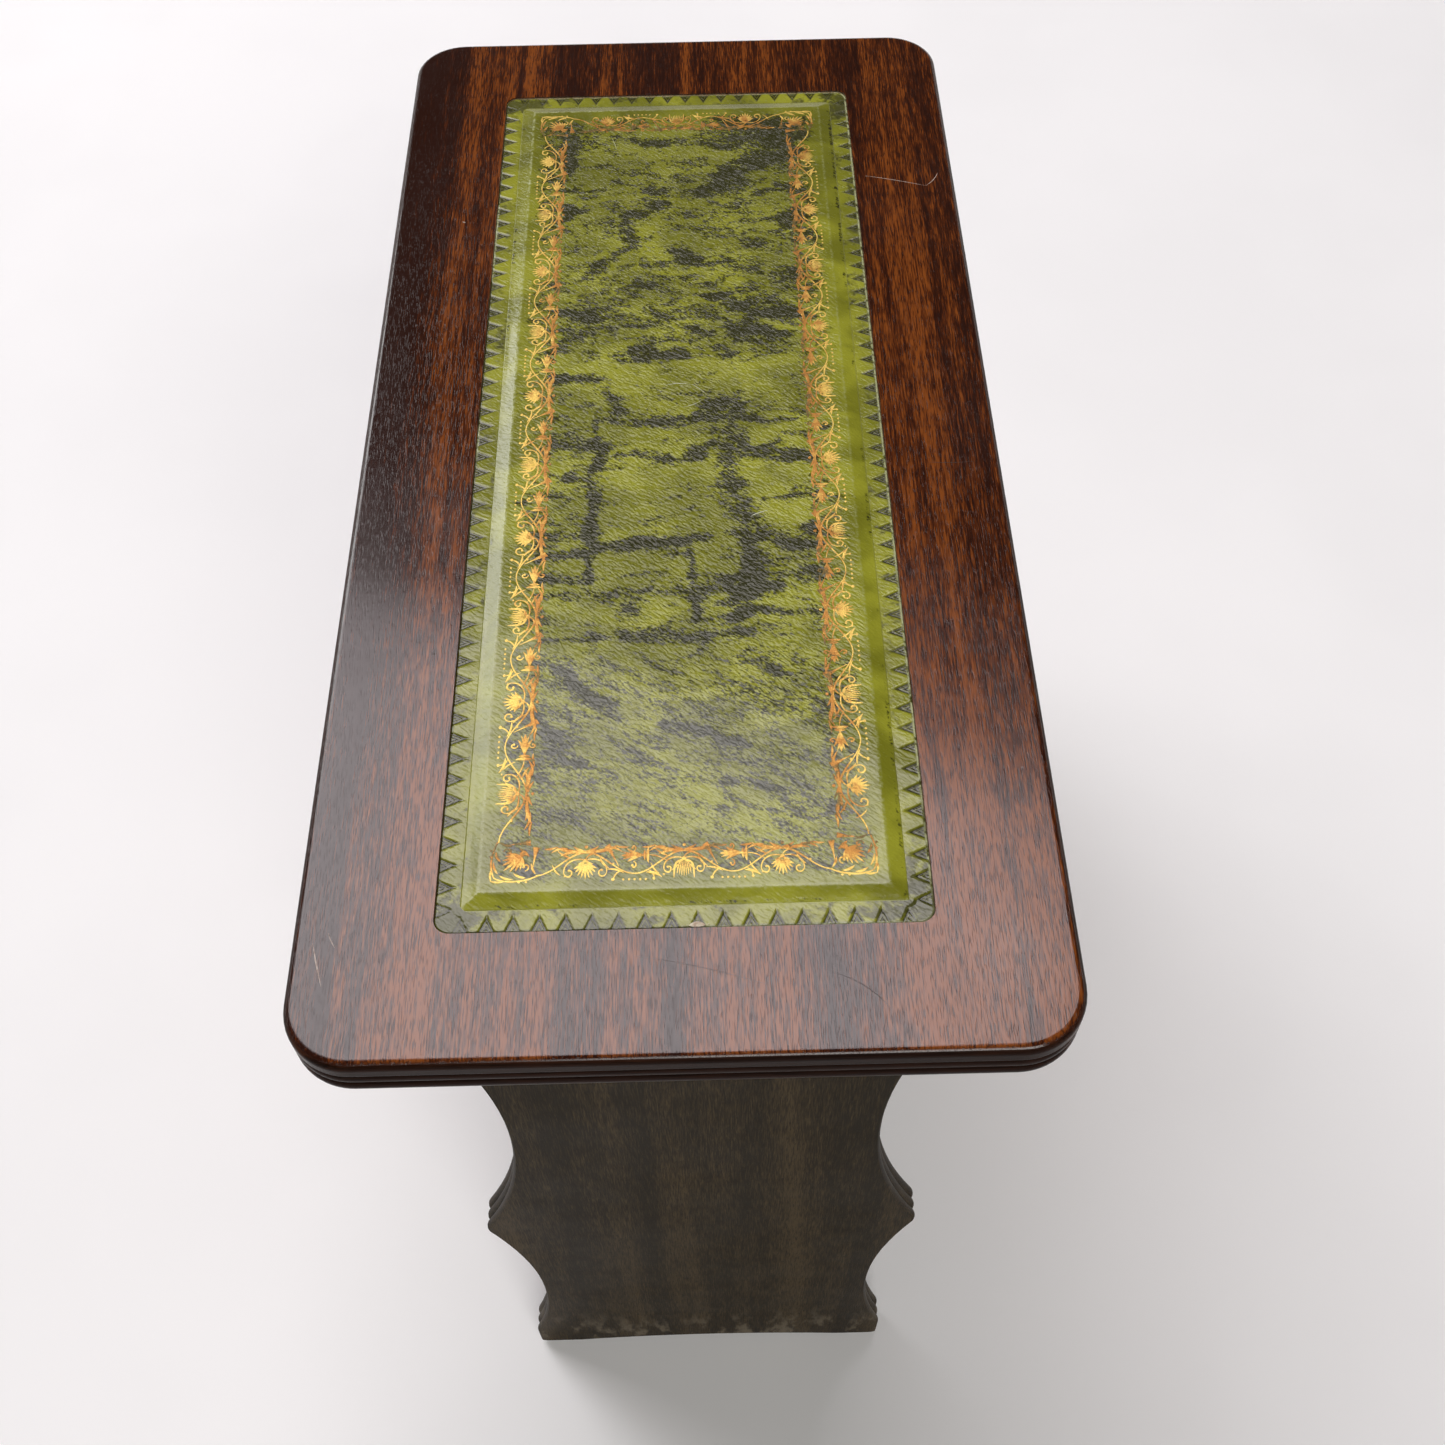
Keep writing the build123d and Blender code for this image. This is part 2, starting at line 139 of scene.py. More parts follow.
class StageSettings(bpy.types.PropertyGroup):
    """Camera, lights and floor."""
    lens: FloatProperty(name="Lens", description="Focal length for a 36 mm wide sensor, in mm",
                        default=39.74, min=1.0)
    camera_place: FloatVectorProperty(name="Camera place", description="Where the camera stands",
                                      default=(0.0124, -0.5098, 0.9988), size=3,
                                      subtype="TRANSLATION")
    camera_turn: FloatVectorProperty(name="Camera turn", description="Rotation of the camera",
                                     default=(radians(34.57), radians(0.55), radians(-1.29)),
                                     size=3, subtype="EULER")
    sky: share("Fill light", 0.05, "Brightness of the even light from above")
    horizon: share("Backdrop", 0.70, "Brightness of the pale backdrop, low down all round")
    overhead: watts("Overhead light", 188.0, "Watts of the large soft light overhead")
    window: watts("Window light", 80.0, "Watts of the smaller light at the far left")
    front: watts("Front light", 150.0, "Watts of the soft light behind the camera")


# ---- Meshes -----------------------------------------------------------------------------

def quads_of_grid(rows, columns, wrap_rows=False, wrap_columns=False):
    """Corner indices of the quads of a grid whose points are counted row by row."""
    row = np.arange(rows if wrap_rows else rows - 1)
    column = np.arange(columns if wrap_columns else columns - 1)
    here_row, here_column = np.meshgrid(row, column, indexing="ij")
    next_row = (here_row + 1) % rows
    next_column = (here_column + 1) % columns
    corners = (here_row * columns + here_column, here_row * columns + next_column,
               next_row * columns + next_column, next_row * columns + here_column)
    return np.stack(corners, axis=-1).reshape(-1, 4)


def mesh_piece(name, points, faces, material, values=None, smooth=True):
    """A new piece from an array of points and a list of faces, with values per point."""
    mesh = bpy.data.meshes.new(name)
    mesh.from_pydata(points.tolist(), [], faces)
    mesh.polygons.foreach_set("use_smooth", [smooth] * len(mesh.polygons))
    for label, numbers in (values or {}).items():
        layer = mesh.attributes.new(label, "FLOAT", "POINT")
        layer.data.foreach_set("value", np.asarray(numbers, dtype=np.float32).ravel())
    mesh.materials.append(material)
    mesh.update()
    return in_scene(name, mesh)


def in_scene(name, data):
    """A new object in the scene for a mesh, a light or a camera."""
    made = bpy.data.objects.new(name, data)
    bpy.context.scene.collection.objects.link(made)
    return made


def soft_ramp(t, foot=0.055, crest=0.0022):
    """A ramp from 0 to 1 over t from 0 to 1, hollow at its foot and nearly sharp at its crest:
    half the difference of the rounded distances from t = 0 and t = 1, plus a half."""
    return 0.5 * (np.sqrt(t * t + foot) - np.sqrt((t - 1) ** 2 + crest)) + 0.5


def step(t, low, high):
    """Smooth step from 0 at low to 1 at high."""
    x = np.clip((t - low) / (high - low), 0.0, 1.0)
    return x * x * (3 - 2 * x)


def ripple(x, y, size, seed):
    """Gentle waves, from -1 to 1: the mean of sines whose directions and phases come from a
    seeded draw. x, y and size share one unit."""
    draw = np.random.default_rng(seed)
    total = np.zeros_like(x)
    count = 9
    for _ in range(count):
        angle, phase = draw.uniform(0, 2 * pi, 2)
        wave = size * draw.uniform(0.6, 1.6)
        total += np.sin(2 * pi * (x * np.cos(angle) + y * np.sin(angle)) / wave + phase)
    return total / count * 1.6


# ---- Materials --------------------------------------------------------------------------

LINE_SPACING = 1.25 * MM            # between the fine ridges inside a tooth
HIDE_LEAN = radians(38)             # the hide's pebbles and creases lean to the near right
NEAR_LIGHTER = (-0.080, -0.250)        # along Y: where the lighter near end begins, and is full
BESIDE_STRIP = (-0.060, -0.090)     # along X: where the lighter wood begins, and is full
LEFT_STRIP = (-0.104, -0.120)       # along X: the same for the dark strip outside it
FOOT_SCUFFS = (0.075, 0.004)        # along Z: the same for the scuffs above the floor
BARE_WOOD = (0.13, 0.105, 0.070)
BARE_HIDE = (0.16, 0.11, 0.03)


class Finish:
    """One material, with short names for the nodes that it is made of."""

    def __init__(self, name):
        self.material = bpy.data.materials.new(name)
        self.material.use_nodes = True
        self.tree = self.material.node_tree
        self.tree.nodes.clear()
        self.shader = self.tree.nodes.new("ShaderNodeBsdfPrincipled")
        output = self.tree.nodes.new("ShaderNodeOutputMaterial")
        self.tree.links.new(self.shader.outputs[0], output.inputs[0])
        coordinates = self.tree.nodes.new("ShaderNodeTexCoord")
        self.place = coordinates.outputs["Object"]

    def give(self, socket, value):
        """Link a socket to another, or set it to a number or a colour."""
        if isinstance(value, bpy.types.NodeSocket):
            self.tree.links.new(value, socket)
        else:
            socket.default_value = value

    def node(self, kind, inputs, output=0, **settings):
        """A node with its settings and inputs."""
        made = self.tree.nodes.new(kind)
        for key, value in settings.items():
            setattr(made, key, value)
        for key, value in inputs.items():
            self.give(made.inputs[key], value)
        return made.outputs[output]

    def set(self, **values):
        """Inputs of the shader, by their names with _ for a space."""
        for key, value in values.items():
            self.give(self.shader.inputs[key.replace("_", " ")], value)

    def sized(self, sizes_mm, turn=0.0):
        """The place divided by a grain size along each axis, turned about Z first."""
        turned = self.place
        if turn:
            turned = self.node("ShaderNodeVectorRotate", {"Vector": self.place, "Angle": turn},
                               rotation_type="Z_AXIS")
        scale = [1000 / size for size in sizes_mm]
        return self.node("ShaderNodeMapping", {"Vector": turned, "Scale": scale})

    def noise(self, sizes_mm, detail=2.0, roughness=0.5, distortion=0.0, turn=0.0):
        """Cloudy noise, about 0.3 to 0.7, with grains of these sizes along the axes."""
        return self.node("ShaderNodeTexNoise", {
            "Vector": self.sized(sizes_mm, turn), "Scale": 1.0, "Detail": detail,
            "Roughness": roughness, "Distortion": distortion})

    def maths(self, operation, a, b=0.0):
        """One sum."""
        return self.node("ShaderNodeMath", {0: a, 1: b}, operation=operation)

    def times(self, a, b):
        """Product of two values."""
        return self.maths("MULTIPLY", a, b)

    def total(self, first, *others):
        """Sum of two or more values."""
        for other in others:
            first = self.maths("ADD", first, other)
        return first

    def swing(self, value, amount):
        """How far a value is from a half, times an amount."""
        return self.times(self.maths("SUBTRACT", value, 0.5), amount)

    def rise(self, value, low, high, to_low=0.0, to_high=1.0):
        """Smooth step of a value between two levels."""
        return self.node("ShaderNodeMapRange", {"Value": value, "From Min": low, "From Max": high,
                                                "To Min": to_low, "To Max": to_high},
                         interpolation_type="SMOOTHSTEP")

    def blend(self, amount, first, second):
        """Mix of two colours."""
        a, b = (c if isinstance(c, bpy.types.NodeSocket) else (*c, 1.0) for c in (first, second))
        return self.node("ShaderNodeMix", {0: amount, 6: a, 7: b}, output=2, data_type="RGBA")

    def value(self, name):
        """A value stored on the piece's points."""
        return self.node("ShaderNodeAttribute", {}, output=2, attribute_name=name)

    def axis(self, index):
        """One coordinate of the place: 0, 1 or 2."""
        return self.node("ShaderNodeSeparateXYZ", {0: self.place}, output=index)

    def relief(self, height, depth_mm, strength=1.0):
        """Bumps of a given depth on the whole surface."""
        self.set(Normal=self.node("ShaderNodeBump", {
            "Height": height, "Distance": depth_mm * MM, "Strength": strength}))


def grain_sizes(along, across_mm, length_mm):
    """Grain sizes for X, Y and Z, long on the axis that the wood's fibres run along."""
    return [length_mm if axis == along else across_mm for axis in "XYZ"]


def wood_finish(name, along, dark, body, bright, gloss, coat=0.2, ior=1.45,
                stripe_mm=15.0, contrast=1.0, near_lift=0.0, left_shade=0.0,
                rim=0.0, shine=0.5, foot_wear=0.0):
    """Lacquered mahogany. Broad stripes, ribbons and fibres run along one axis; pores are short
    dark dashes, and the ribbon figure is a faint cloud across the stripes. near_lift lightens
    the wood towards the near end, left_shade darkens a strip along the left edge and
    lightens the wood beside it, rim paints shade on the rounding under the face, and
    foot_wear scuffs the wood just above the floor."""
    f = Finish(name)
    stripes = f.noise(grain_sizes(along, stripe_mm, 900), 2.0, 0.5, 0.6)
    ribbons = f.noise(grain_sizes(along, 3.2, 160), 3.0, 0.55)
    fibres = f.noise(grain_sizes(along, 0.60, 11), 2.0, 0.6)
    figure = f.noise(grain_sizes(along, 7, 26), 3.0, 0.6, 0.5)
    pores = f.noise(grain_sizes(along, 0.45, 6.5), 1.0, 0.5)

    tone = f.total(f.times(stripes, 0.52 * contrast), f.times(ribbons, 0.22 * contrast),
                   f.times(fibres, 0.54), f.times(figure, 0.16),
                   f.rise(f.axis(1), *NEAR_LIGHTER, 0.0, near_lift),
                   f.rise(f.axis(0), *BESIDE_STRIP, 0.0, 0.6 * left_shade))
    strip = f.rise(f.axis(0), *LEFT_STRIP, 0.0, 1.4 * left_shade)
    tone = f.maths("SUBTRACT", tone, strip)
    middle = (0.74 * contrast + 0.70) / 2
    light = f.rise(tone, middle - 0.13, middle + 0.17)
    wood = f.blend(f.rise(light, 0.0, 0.55), dark, body)
    wood = f.blend(f.rise(light, 0.45, 1.0), wood, bright)
    pore_depth = f.rise(pores, 0.54, 0.66)
    wood = f.blend(f.times(pore_depth, 0.75), wood, dark)
    # Painted shade: the rounding just under the face is blended towards the dark streaks.
    under_face_shade = f.rise(f.axis(2), WOOD_FACE - 0.7 * MM, WOOD_FACE - 0.03 * MM, rim, 0.0)
    wood = f.blend(under_face_shade, wood, dark)
    scuffs = f.noise((8, 8, 24), 3.0, 0.6)
    scuffs = f.times(f.rise(scuffs, 0.50, 0.68), f.rise(f.axis(2), *FOOT_SCUFFS, 0.0, foot_wear))

    rubbed = f.noise((70, 90, 60), 3.0, 0.6)
    f.set(Base_Color=f.blend(scuffs, wood, BARE_WOOD), Coat_Weight=coat, Coat_Roughness=0.14,
          IOR=ior, Specular_IOR_Level=shine,
          Roughness=f.rise(rubbed, 0.3, 0.7, gloss - 0.03, gloss + 0.05))
    f.relief(f.maths("SUBTRACT", f.times(fibres, 0.5), pore_depth), 0.045, 0.8)
    return f.material


def edging_finish(name, along, dark, rubbed, gloss):
    """Moulded edging: as the top, but dark, with the roundest and highest parts lighter, partly
    rubbed wear and partly a painted highlight.
    """
    f = Finish(name)
    fibres = f.noise(grain_sizes(along, 0.5, 14), 3.0, 0.6)
    ribbons = f.noise(grain_sizes(along, 4, 120), 2.0, 0.5)
    pointiness = f.node("ShaderNodeNewGeometry", {}, output=7)
    # Painted highlight with some real rubbing: the convex crowns and arris are lightened.
    crown_wear_and_highlight = f.times(f.rise(pointiness, 0.50, 0.56), f.rise(ribbons, 0.3, 0.6))
    tone = f.total(f.times(fibres, 0.6), f.times(crown_wear_and_highlight, 0.5))
    f.set(Base_Color=f.blend(f.rise(tone, 0.15, 0.75), dark, rubbed), IOR=1.3,
          Specular_IOR_Level=0.12, Roughness=f.rise(fibres, 0.3, 0.7, gloss, gloss + 0.12))
    f.relief(fibres, 0.03, 0.6)
    return f.material


def raw_wood_finish(name, along, dark, light, roughness=0.6):
    """Planed wood with no lacquer: fibres along one axis and a soft broad figure."""
    f = Finish(name)
    fibres = f.noise(grain_sizes(along, 0.6, 14), 4.0, 0.6)
    broad = f.noise(grain_sizes(along, 9, 180), 3.0, 0.5, 0.7)
    tone = f.total(f.times(fibres, 0.5), f.times(broad, 0.5))
    f.set(Base_Color=f.blend(f.rise(tone, 0.32, 0.68), dark, light),
          Roughness=f.rise(fibres, 0.3, 0.7, roughness - 0.08, roughness + 0.1))
    f.relief(fibres, 0.06, 0.7)
    return f.material


def metal_finish(name, bright, roughness):
    """Plated steel with fine turning marks and a few dull spots."""
    f = Finish(name)
    marks = f.noise((0.4, 0.4, 4), 3.0, 0.6)
    spots = f.noise((3, 3, 3), 3.0, 0.6)
    dull = [part * 0.45 for part in bright]
    f.set(Base_Color=f.blend(f.rise(spots, 0.52, 0.7), bright, dull), Metallic=1.0,
          Roughness=f.rise(marks, 0.3, 0.7, roughness, roughness + 0.2))
    f.relief(marks, 0.02, 0.5)
    return f.material


def hide_ground(f, s, stain, shade=0.0):
    """Colour shared by the leather's border and field: two greens in clouds and specks, a brown
    shade and a dark stain where told."""
    clouds = f.noise((34, 26, 30), 3.0, 0.55, 0.4)
    specks = f.noise((0.9, 0.6, 1), 2.0, 0.6, turn=radians(35))
    ground = f.blend(f.rise(clouds, 0.36, 0.66), s.deep_green, s.green)
    ground = f.blend(f.rise(specks, 0.55, 0.75, 0.0, 0.35), ground, s.deep_green)
    ground = f.blend(shade, ground, [part * 0.42 for part in s.deep_green])
    return f.blend(stain, ground, s.antique)


def dress_hide(f, colour_here, roughness, grain):
    """Colour, dressing and relief of the hide: smooth pebbles, and short creases across them."""
    pebbles = f.node("ShaderNodeTexVoronoi", {
        "Vector": f.sized((2.1, 1.25, 2), HIDE_LEAN), "Scale": 1.0}, feature="SMOOTH_F1")
    creases = f.noise((4.4, 1.7, 2), 1.0, 0.5, 0.8, HIDE_LEAN)
    f.set(Base_Color=colour_here, IOR=1.43, Coat_Weight=0.5, Coat_Roughness=0.09,
          Roughness=roughness)
    f.relief(f.total(f.times(pebbles, -0.60), f.times(creases, 0.9)), 0.62, grain)
    return f.material


def border_leather(s):
    """Leather of the border: the teeth's lines are dark, and so are the corners. The rim is dark,
    partly antique stain and partly painted shade where it meets the wood, and a pale line along
    the edge is partly wear and partly a painted highlight.
    """
    f = Finish("border_leather")
    inset = f.value("inset")
    taper = f.maths("DIVIDE", inset, s.tooth_length)
    half_width = f.times(f.maths("SUBTRACT", 1.0, taper), s.tooth_base / 2)
    inside = f.maths("SUBTRACT", half_width, f.value("tooth_offset"))
    tooth = f.rise(inside, -0.25 * MM, 0.35 * MM)
    waves = f.maths("SINE", f.times(inside, 2 * pi / LINE_SPACING))
    lines = f.rise(waves, 0.35, 0.95, 1.0, 0.55)
    rubbing = f.noise((2.6, 2.6, 3), 3.0, 0.6)
    patches = f.noise((11, 11, 9), 4.0, 0.62, 0.6)
    # Partly antique stain, partly painted shade: the border's outermost rim, next to the wood, is
    # darkened.
    rim = f.rise(inset, 0.3 * MM, 1.5 * MM, 0.80, 0.0)
    tooth_stain = f.times(f.times(tooth, lines), f.rise(rubbing, 0.30, 0.52, 0.75, 0.98))
    cloud = f.total(patches, f.times(f.value("corner"), 0.24), f.swing(rubbing, 0.35))
    cloud = f.rise(cloud, 0.53, 0.72, 0.0, 0.80)
    stain = f.maths("MAXIMUM", f.maths("MAXIMUM", tooth_stain, rim), cloud)
    # Partly wear, partly a painted highlight: a pale line along the border's outer edge.
    edge_wear_and_highlight = f.times(f.value("rubbed"), f.rise(rubbing, 0.36, 0.52))
    return dress_hide(f, f.blend(edge_wear_and_highlight, hide_ground(f, s, stain), s.worn),
                      f.rise(patches, 0.3, 0.7, 0.22, 0.31), 0.5)


def field_leather(s):
    """Leather of the field, antiqued by hand: blots in the farther half, slanting streaks at the
    near end, and placed stains on top of them. The far end is darker, partly in the hide's own
    tone and partly as painted shade, and the bevel's crest is paler, partly from wear and partly
    as a painted highlight."""
    f = Finish("field_leather")
    along = f.axis(1)
    hairs = f.noise((3.4, 1.2, 3), 4.0, 0.65, 0.5)
    grain = f.noise((1.4, 0.9, 2), 3.0, 0.6, turn=HIDE_LEAN)
    breakup = f.total(f.swing(hairs, 0.26), f.swing(grain, 0.78))
    blots = f.noise((13, 7.0, 10), 4.0, 0.58, 0.8)
    regions = f.noise((52, 46, 50), 2.0, 0.5)
    blots = f.total(blots, f.swing(regions, 0.55), f.rise(along, 0.015, 0.070, -0.060, 0.040))
    slants = f.noise((15, 4.2, 10), 4.0, 0.6, 0.5, radians(28))
    slants = f.total(slants, f.rise(along, -0.100, -0.145, -0.2, 0.010))

    dark = f.total(f.maths("MAXIMUM", blots, slants), f.value("stain"))
    dark = f.total(f.maths("SUBTRACT", dark, f.value("clear")), breakup)
    stain = f.rise(dark, 0.56, 0.70, 0.0, 0.92)
    shade = f.rise(dark, 0.47, 0.62, 0.0, 0.70)
    # Darker towards the far end: partly a darker tone of the hide, partly painted shade where the far
    # end shows less sheen.
    shade = f.maths("MAXIMUM", shade, f.rise(along, 0.08, 0.22, 0.0, 0.42))
    crisp = f.noise((1.8, 1.2, 2), 3.0, 0.65)
    # Partly wear, partly a painted highlight: the bevel's crest is paled, most on the left side.
    pale = f.times(f.value("rubbed"), f.rise(crisp, 0.40, 0.60))
    return dress_hide(f, f.blend(pale, hide_ground(f, s, stain, shade), s.worn),
                      f.rise(crisp, 0.3, 0.7, 0.20, 0.28), f.value("grain"))


def gold_finish(s):
    """Gold leaf, rubbed to copper on the inner side of the roll and here and there elsewhere."""
    f = Finish("gold_leaf")
    rub = f.noise((4, 4, 4), 3.0, 0.6)
    specks = f.noise((0.7, 0.7, 0.7), 2.0, 0.6)
    wear = f.total(f.value("wear"), f.swing(rub, 1.6), f.swing(specks, 0.7))
    gold = f.blend(f.rise(wear, 0.25, 0.85), s.bright, s.rubbed)
    f.set(Base_Color=f.blend(f.rise(wear, 0.88, 1.10), gold, BARE_HIDE), Metallic=0.5,
          Roughness=f.rise(specks, 0.3, 0.7, 0.30, 0.48))
    f.relief(specks, 0.22, 0.8)
    return f.material


def plain_finish(name, first, second, roughness, grain_mm):
    """A dull surface with two close tones."""
    f = Finish(name)
    clouds = f.noise([grain_mm] * 3, 3.0, 0.6)
    f.set(Base_Color=f.blend(f.rise(clouds, 0.35, 0.65), first, second), Roughness=roughness)
    return f.material


def paint_nodes(names, material):
    """Give CAD nodes a finish."""
    for name in names:
        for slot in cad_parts[name].material_slots:
            slot.material = material


# ---- Leather ----------------------------------------------------------------------------

FIRST_TOOTH = 9.4 * MM        # from a corner of the panel to the first tooth's middle
SAMPLES_PER_TOOTH = 22
SKIN_CORNER = 5.8 * MM
CORNER_STEPS = 12


def side_samples(side_length, teeth):
    """Places along one side, from one corner's arc to the other's, with a place on the middle
    of each tooth and midway between teeth."""
    start = np.linspace(SKIN_CORNER, FIRST_TOOTH, 7)
    middle = np.linspace(FIRST_TOOTH, side_length - FIRST_TOOTH,
                         (teeth - 1) * SAMPLES_PER_TOOTH + 1)
    return np.concatenate([start[:-1], middle, side_length - start[-2::-1]])


def ring_points(insets, samples_short, samples_long):
    """Closed loops at each inset from the panel's edge, as X, Y and the place along the side.
    A loop is four straight sides joined by arcs; its corners get tighter inwards, and places
    near a corner are squeezed in step with it."""
    inset = insets[:, None]
    radius = np.maximum(SKIN_CORNER - 0.42 * inset, 1.3 * MM)
    corners = np.array([(-1, -1), (1, -1), (1, 1), (-1, 1)]) * (SKIN_HALF_WIDTH, SKIN_HALF_LENGTH)
    turn = np.linspace(0, pi / 2, CORNER_STEPS + 1)[1:-1]
    xs, ys, places = [], [], []
    for index in range(4):
        corner, following = corners[index], corners[(index + 1) % 4]
        side_length = float(np.abs(following - corner).sum())
        forward = (following - corner) / side_length
        inward = np.array([-forward[1], forward[0]])
        samples = samples_short if index % 2 == 0 else samples_long
        zone = FIRST_TOOTH + 14 * MM
        from_corner = np.minimum(samples, side_length - samples)[None, :]
        squeezed = (inset + radius) + (from_corner - SKIN_CORNER) * (
            (zone - inset - radius) / (zone - SKIN_CORNER))
        near_corner = np.where(from_corner < zone, squeezed, from_corner)
        place = np.where(samples[None, :] < side_length / 2, near_corner,
                         side_length - near_corner)
        xs.append(corner[0] + forward[0] * place + inward[0] * inset)
        ys.append(corner[1] + forward[1] * place + inward[1] * inset)
        places.append(np.broadcast_to(near_corner, place.shape))
        middle = following + (-forward + inward) * (inset + radius)[:, :, None]
        swing = (-inward * np.cos(turn)[:, None] + forward * np.sin(turn)[:, None])[None]
        arc = middle + swing * radius[:, :, None]
        xs.append(arc[:, :, 0])
        ys.append(arc[:, :, 1])
        places.append(np.broadcast_to(inset + radius, arc.shape[:2]))
    return np.hstack(xs), np.hstack(ys), np.hstack(places)


def tooth_offset(place, pitch):
    """Distance along the side to the nearest tooth's middle."""
    past_first = place - FIRST_TOOTH
    in_row = np.abs((past_first + pitch / 2) % pitch - pitch / 2)
    return np.where(past_first < 0, -past_first, in_row)


def make_border(s):
    """The leather's border, a closed band: its upper side is pressed into teeth whose depth is a
    ramp up to the tooth's slanting side, less fine ridges that follow that side."""
    short = 2 * SKIN_HALF_WIDTH - 2 * FIRST_TOOTH
    long = 2 * SKIN_HALF_LENGTH - 2 * FIRST_TOOTH
    teeth_short = round(short / s.tooth_pitch) + 1
    teeth_long = round(long / s.tooth_pitch) + 1
    pitches = (short / (teeth_short - 1), long / (teeth_long - 1))
    level = WOOD_FACE - s.border_drop
    back = SKIN_LOW[2]
    tucked = s.border + 0.9 * MM
    upper = np.concatenate([[0.0, 0.06, 0.22], np.arange(0.5, 8.4, 0.42), [8.9, 9.4]]) * MM
    insets = np.concatenate([[0.0], upper, [s.border, tucked, tucked]])
    x, y, place = ring_points(insets, side_samples(2 * SKIN_HALF_WIDTH, teeth_short),
                              side_samples(2 * SKIN_HALF_LENGTH, teeth_long))
    depth = np.broadcast_to(insets[:, None], x.shape)
    on_short = np.abs(SKIN_HALF_LENGTH - np.abs(y)) < np.abs(SKIN_HALF_WIDTH - np.abs(x))
    offset = np.where(on_short, tooth_offset(place, pitches[0]), tooth_offset(place, pitches[1]))

    inside = s.tooth_base / 2 * (1 - depth / s.tooth_length) - offset
    pressed = step(inside, -0.3 * MM, 0.4 * MM)
    ridges = 0.5 + 0.5 * np.sin(2 * pi * inside / LINE_SPACING)
    uneven = 0.75 + 0.25 * ripple(x, y, 40 * MM, 5)
    press = s.press_depth * pressed * (1 - 0.55 * ridges) * uneven
    edge_round = 0.35 * MM * (1 - step(depth, 0.0, 0.6 * MM)) ** 2
    wave = 0.05 * MM * ripple(x, y, 15 * MM, 11)
    z = level - press - edge_round + wave
    z[0] = back
    z[-3] = level - 0.02 * MM
    z[-2] = level - 0.45 * MM
    z[-1] = back
    corner_gap = np.hypot(SKIN_HALF_WIDTH - np.abs(x), SKIN_HALF_LENGTH - np.abs(y))
    values = {
        "tooth_offset": offset, "inset": depth,
        "corner": 1 - step(corner_gap, 6 * MM, 32 * MM),
        # The pale edge line: partly wear and partly a painted highlight, stronger on the right and
        # far sides.
        "rubbed": (1 - step(np.abs(depth - 0.3 * MM), 0.25 * MM, 0.75 * MM))
        * step(ripple(x, y, 60 * MM, 3) + 6 * x + 1.5 * y, -0.35, 0.2),
    }
    points = np.stack([x, y, z], axis=-1).reshape(-1, 3)
    faces = quads_of_grid(*x.shape, wrap_rows=True, wrap_columns=True)[:, ::-1].tolist()
    leather_piece("leather_border", points, faces, border_leather(s), values)


def leather_piece(name, points, faces, material, values):
    """One of the two surfaces that stand in for the plain skin."""
    piece = mesh_piece(name, points, faces, material, values)
    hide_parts("leather_skin")
    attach(piece, ROOT_BODY)


# Stains that stand out from the even antiquing, in millimetres from the panel's middle:
# where each starts and ends, and how broad it is.
STAINS = (
    (61, 214, 29, 180, 6.5), (29, 180, 14, 163, 4.6), (61, 195, 25, 174, 3.2),
    (-22, 206, 25, 201, 2.4), (20, 211, 60, 213, 9.0), (-54, 199, -53, 181, 3.0),
    (-27, 144, -4, 154, 2.6), (-25, 142, -22, 123, 3.0), (-22, 123, -40, 106, 2.6),
    (-54, 153, -45, 150, 2.0), (-5, 118, 11, 111, 2.8), (-20, 96, -13, 92, 2.2),
    (14, 85, 31, 79, 3.0), (36, 73, 59, 70, 2.6), (25, 62, 50, 58, 2.4),
    (-54, 75, -38, 72, 2.6), (-54, 64, -40, 62, 2.2), (-22, 48, 4, 45, 2.0),
    (-58, 32, -32, 30, 2.4), (-34, 24, -27, 9, 3.6), (-34, 5, 50, 3, 2.0),
    (-56, -8, -34, -12, 3.0), (14, -10, 58, -20, 2.8), (-29, -18, 0, -20, 2.0),
    (-56, -27, -40, -29, 2.2), (-36, 9, -38, -90, 2.0), (25, 9, 22, -37, 5.0),
    (22, -37, 31, -71, 4.6), (31, -71, 25, -109, 3.6), (-58, -75, -32, -69, 2.0),
    (-32, -69, 14, -66, 1.8), (40, -69, 58, -71, 2.4), (-58, -96, 43, -92, 2.4),
    (4, -71, 5, -109, 1.5), (-20, -102, -19, -102, 3.2), (-56, -119, 29, -115, 1.6),
    (29, -104, 43, -107, 2.2), (38, -135, 38, -135, 2.6), (-50, -132, -29, -151, 2.1),
    (-54, -163, -40, -178, 2.3), (-7, -159, 25, -170, 1.8), (14, -185, 36, -193, 2.0),
    (0, -20, 14, -10, 2.4), (8, 9, 26, 16, 3.0),
)
STROKE_STAIN = 0.27           # how much each kind of stain adds to the antiquing
TONGUE_STAIN = 0.17
RUNG_STAIN = 0.14
# Painted shade in the crease at the bevel's foot, added to the same stain value.
FOLD_SHADE = 0.27
TONGUE_SPACING = 23.0         # millimetres between stains that reach in from the gold roll
RUNG_SPACING = 21.5           # millimetres between the faint rungs across the middle
ROLL_INNER_SIDE = 34          # millimetres from the panel's edge
FIELD_GRID = 1.5 * MM         # between the field's points
BELOW_GOLD = 0.11 * MM        # the field lies this far below the gold's highest places


def closeness_to_strokes(x, y, strokes):
    """Largest closeness to any stroke: 1 on its line, 0 beyond 2.6 half widths. A stroke is
    widest at its middle."""
    best = np.zeros_like(x)
    for x0, y0, x1, y1, half in strokes:
        run = np.array([x1 - x0, y1 - y0], dtype=float)
        t = ((x - x0) * run[0] + (y - y0) * run[1]) / max(run @ run, 1e-9)
        t = np.clip(t, 0, 1)
        gap = np.hypot(x - x0 - t * run[0], y - y0 - t * run[1])
        reach = half * (0.65 + 0.35 * np.sin(pi * t)) if run @ run > 1 else half
        best = np.maximum(best, 1 - step(gap, reach * 0.10, reach * 2.6))
    return best


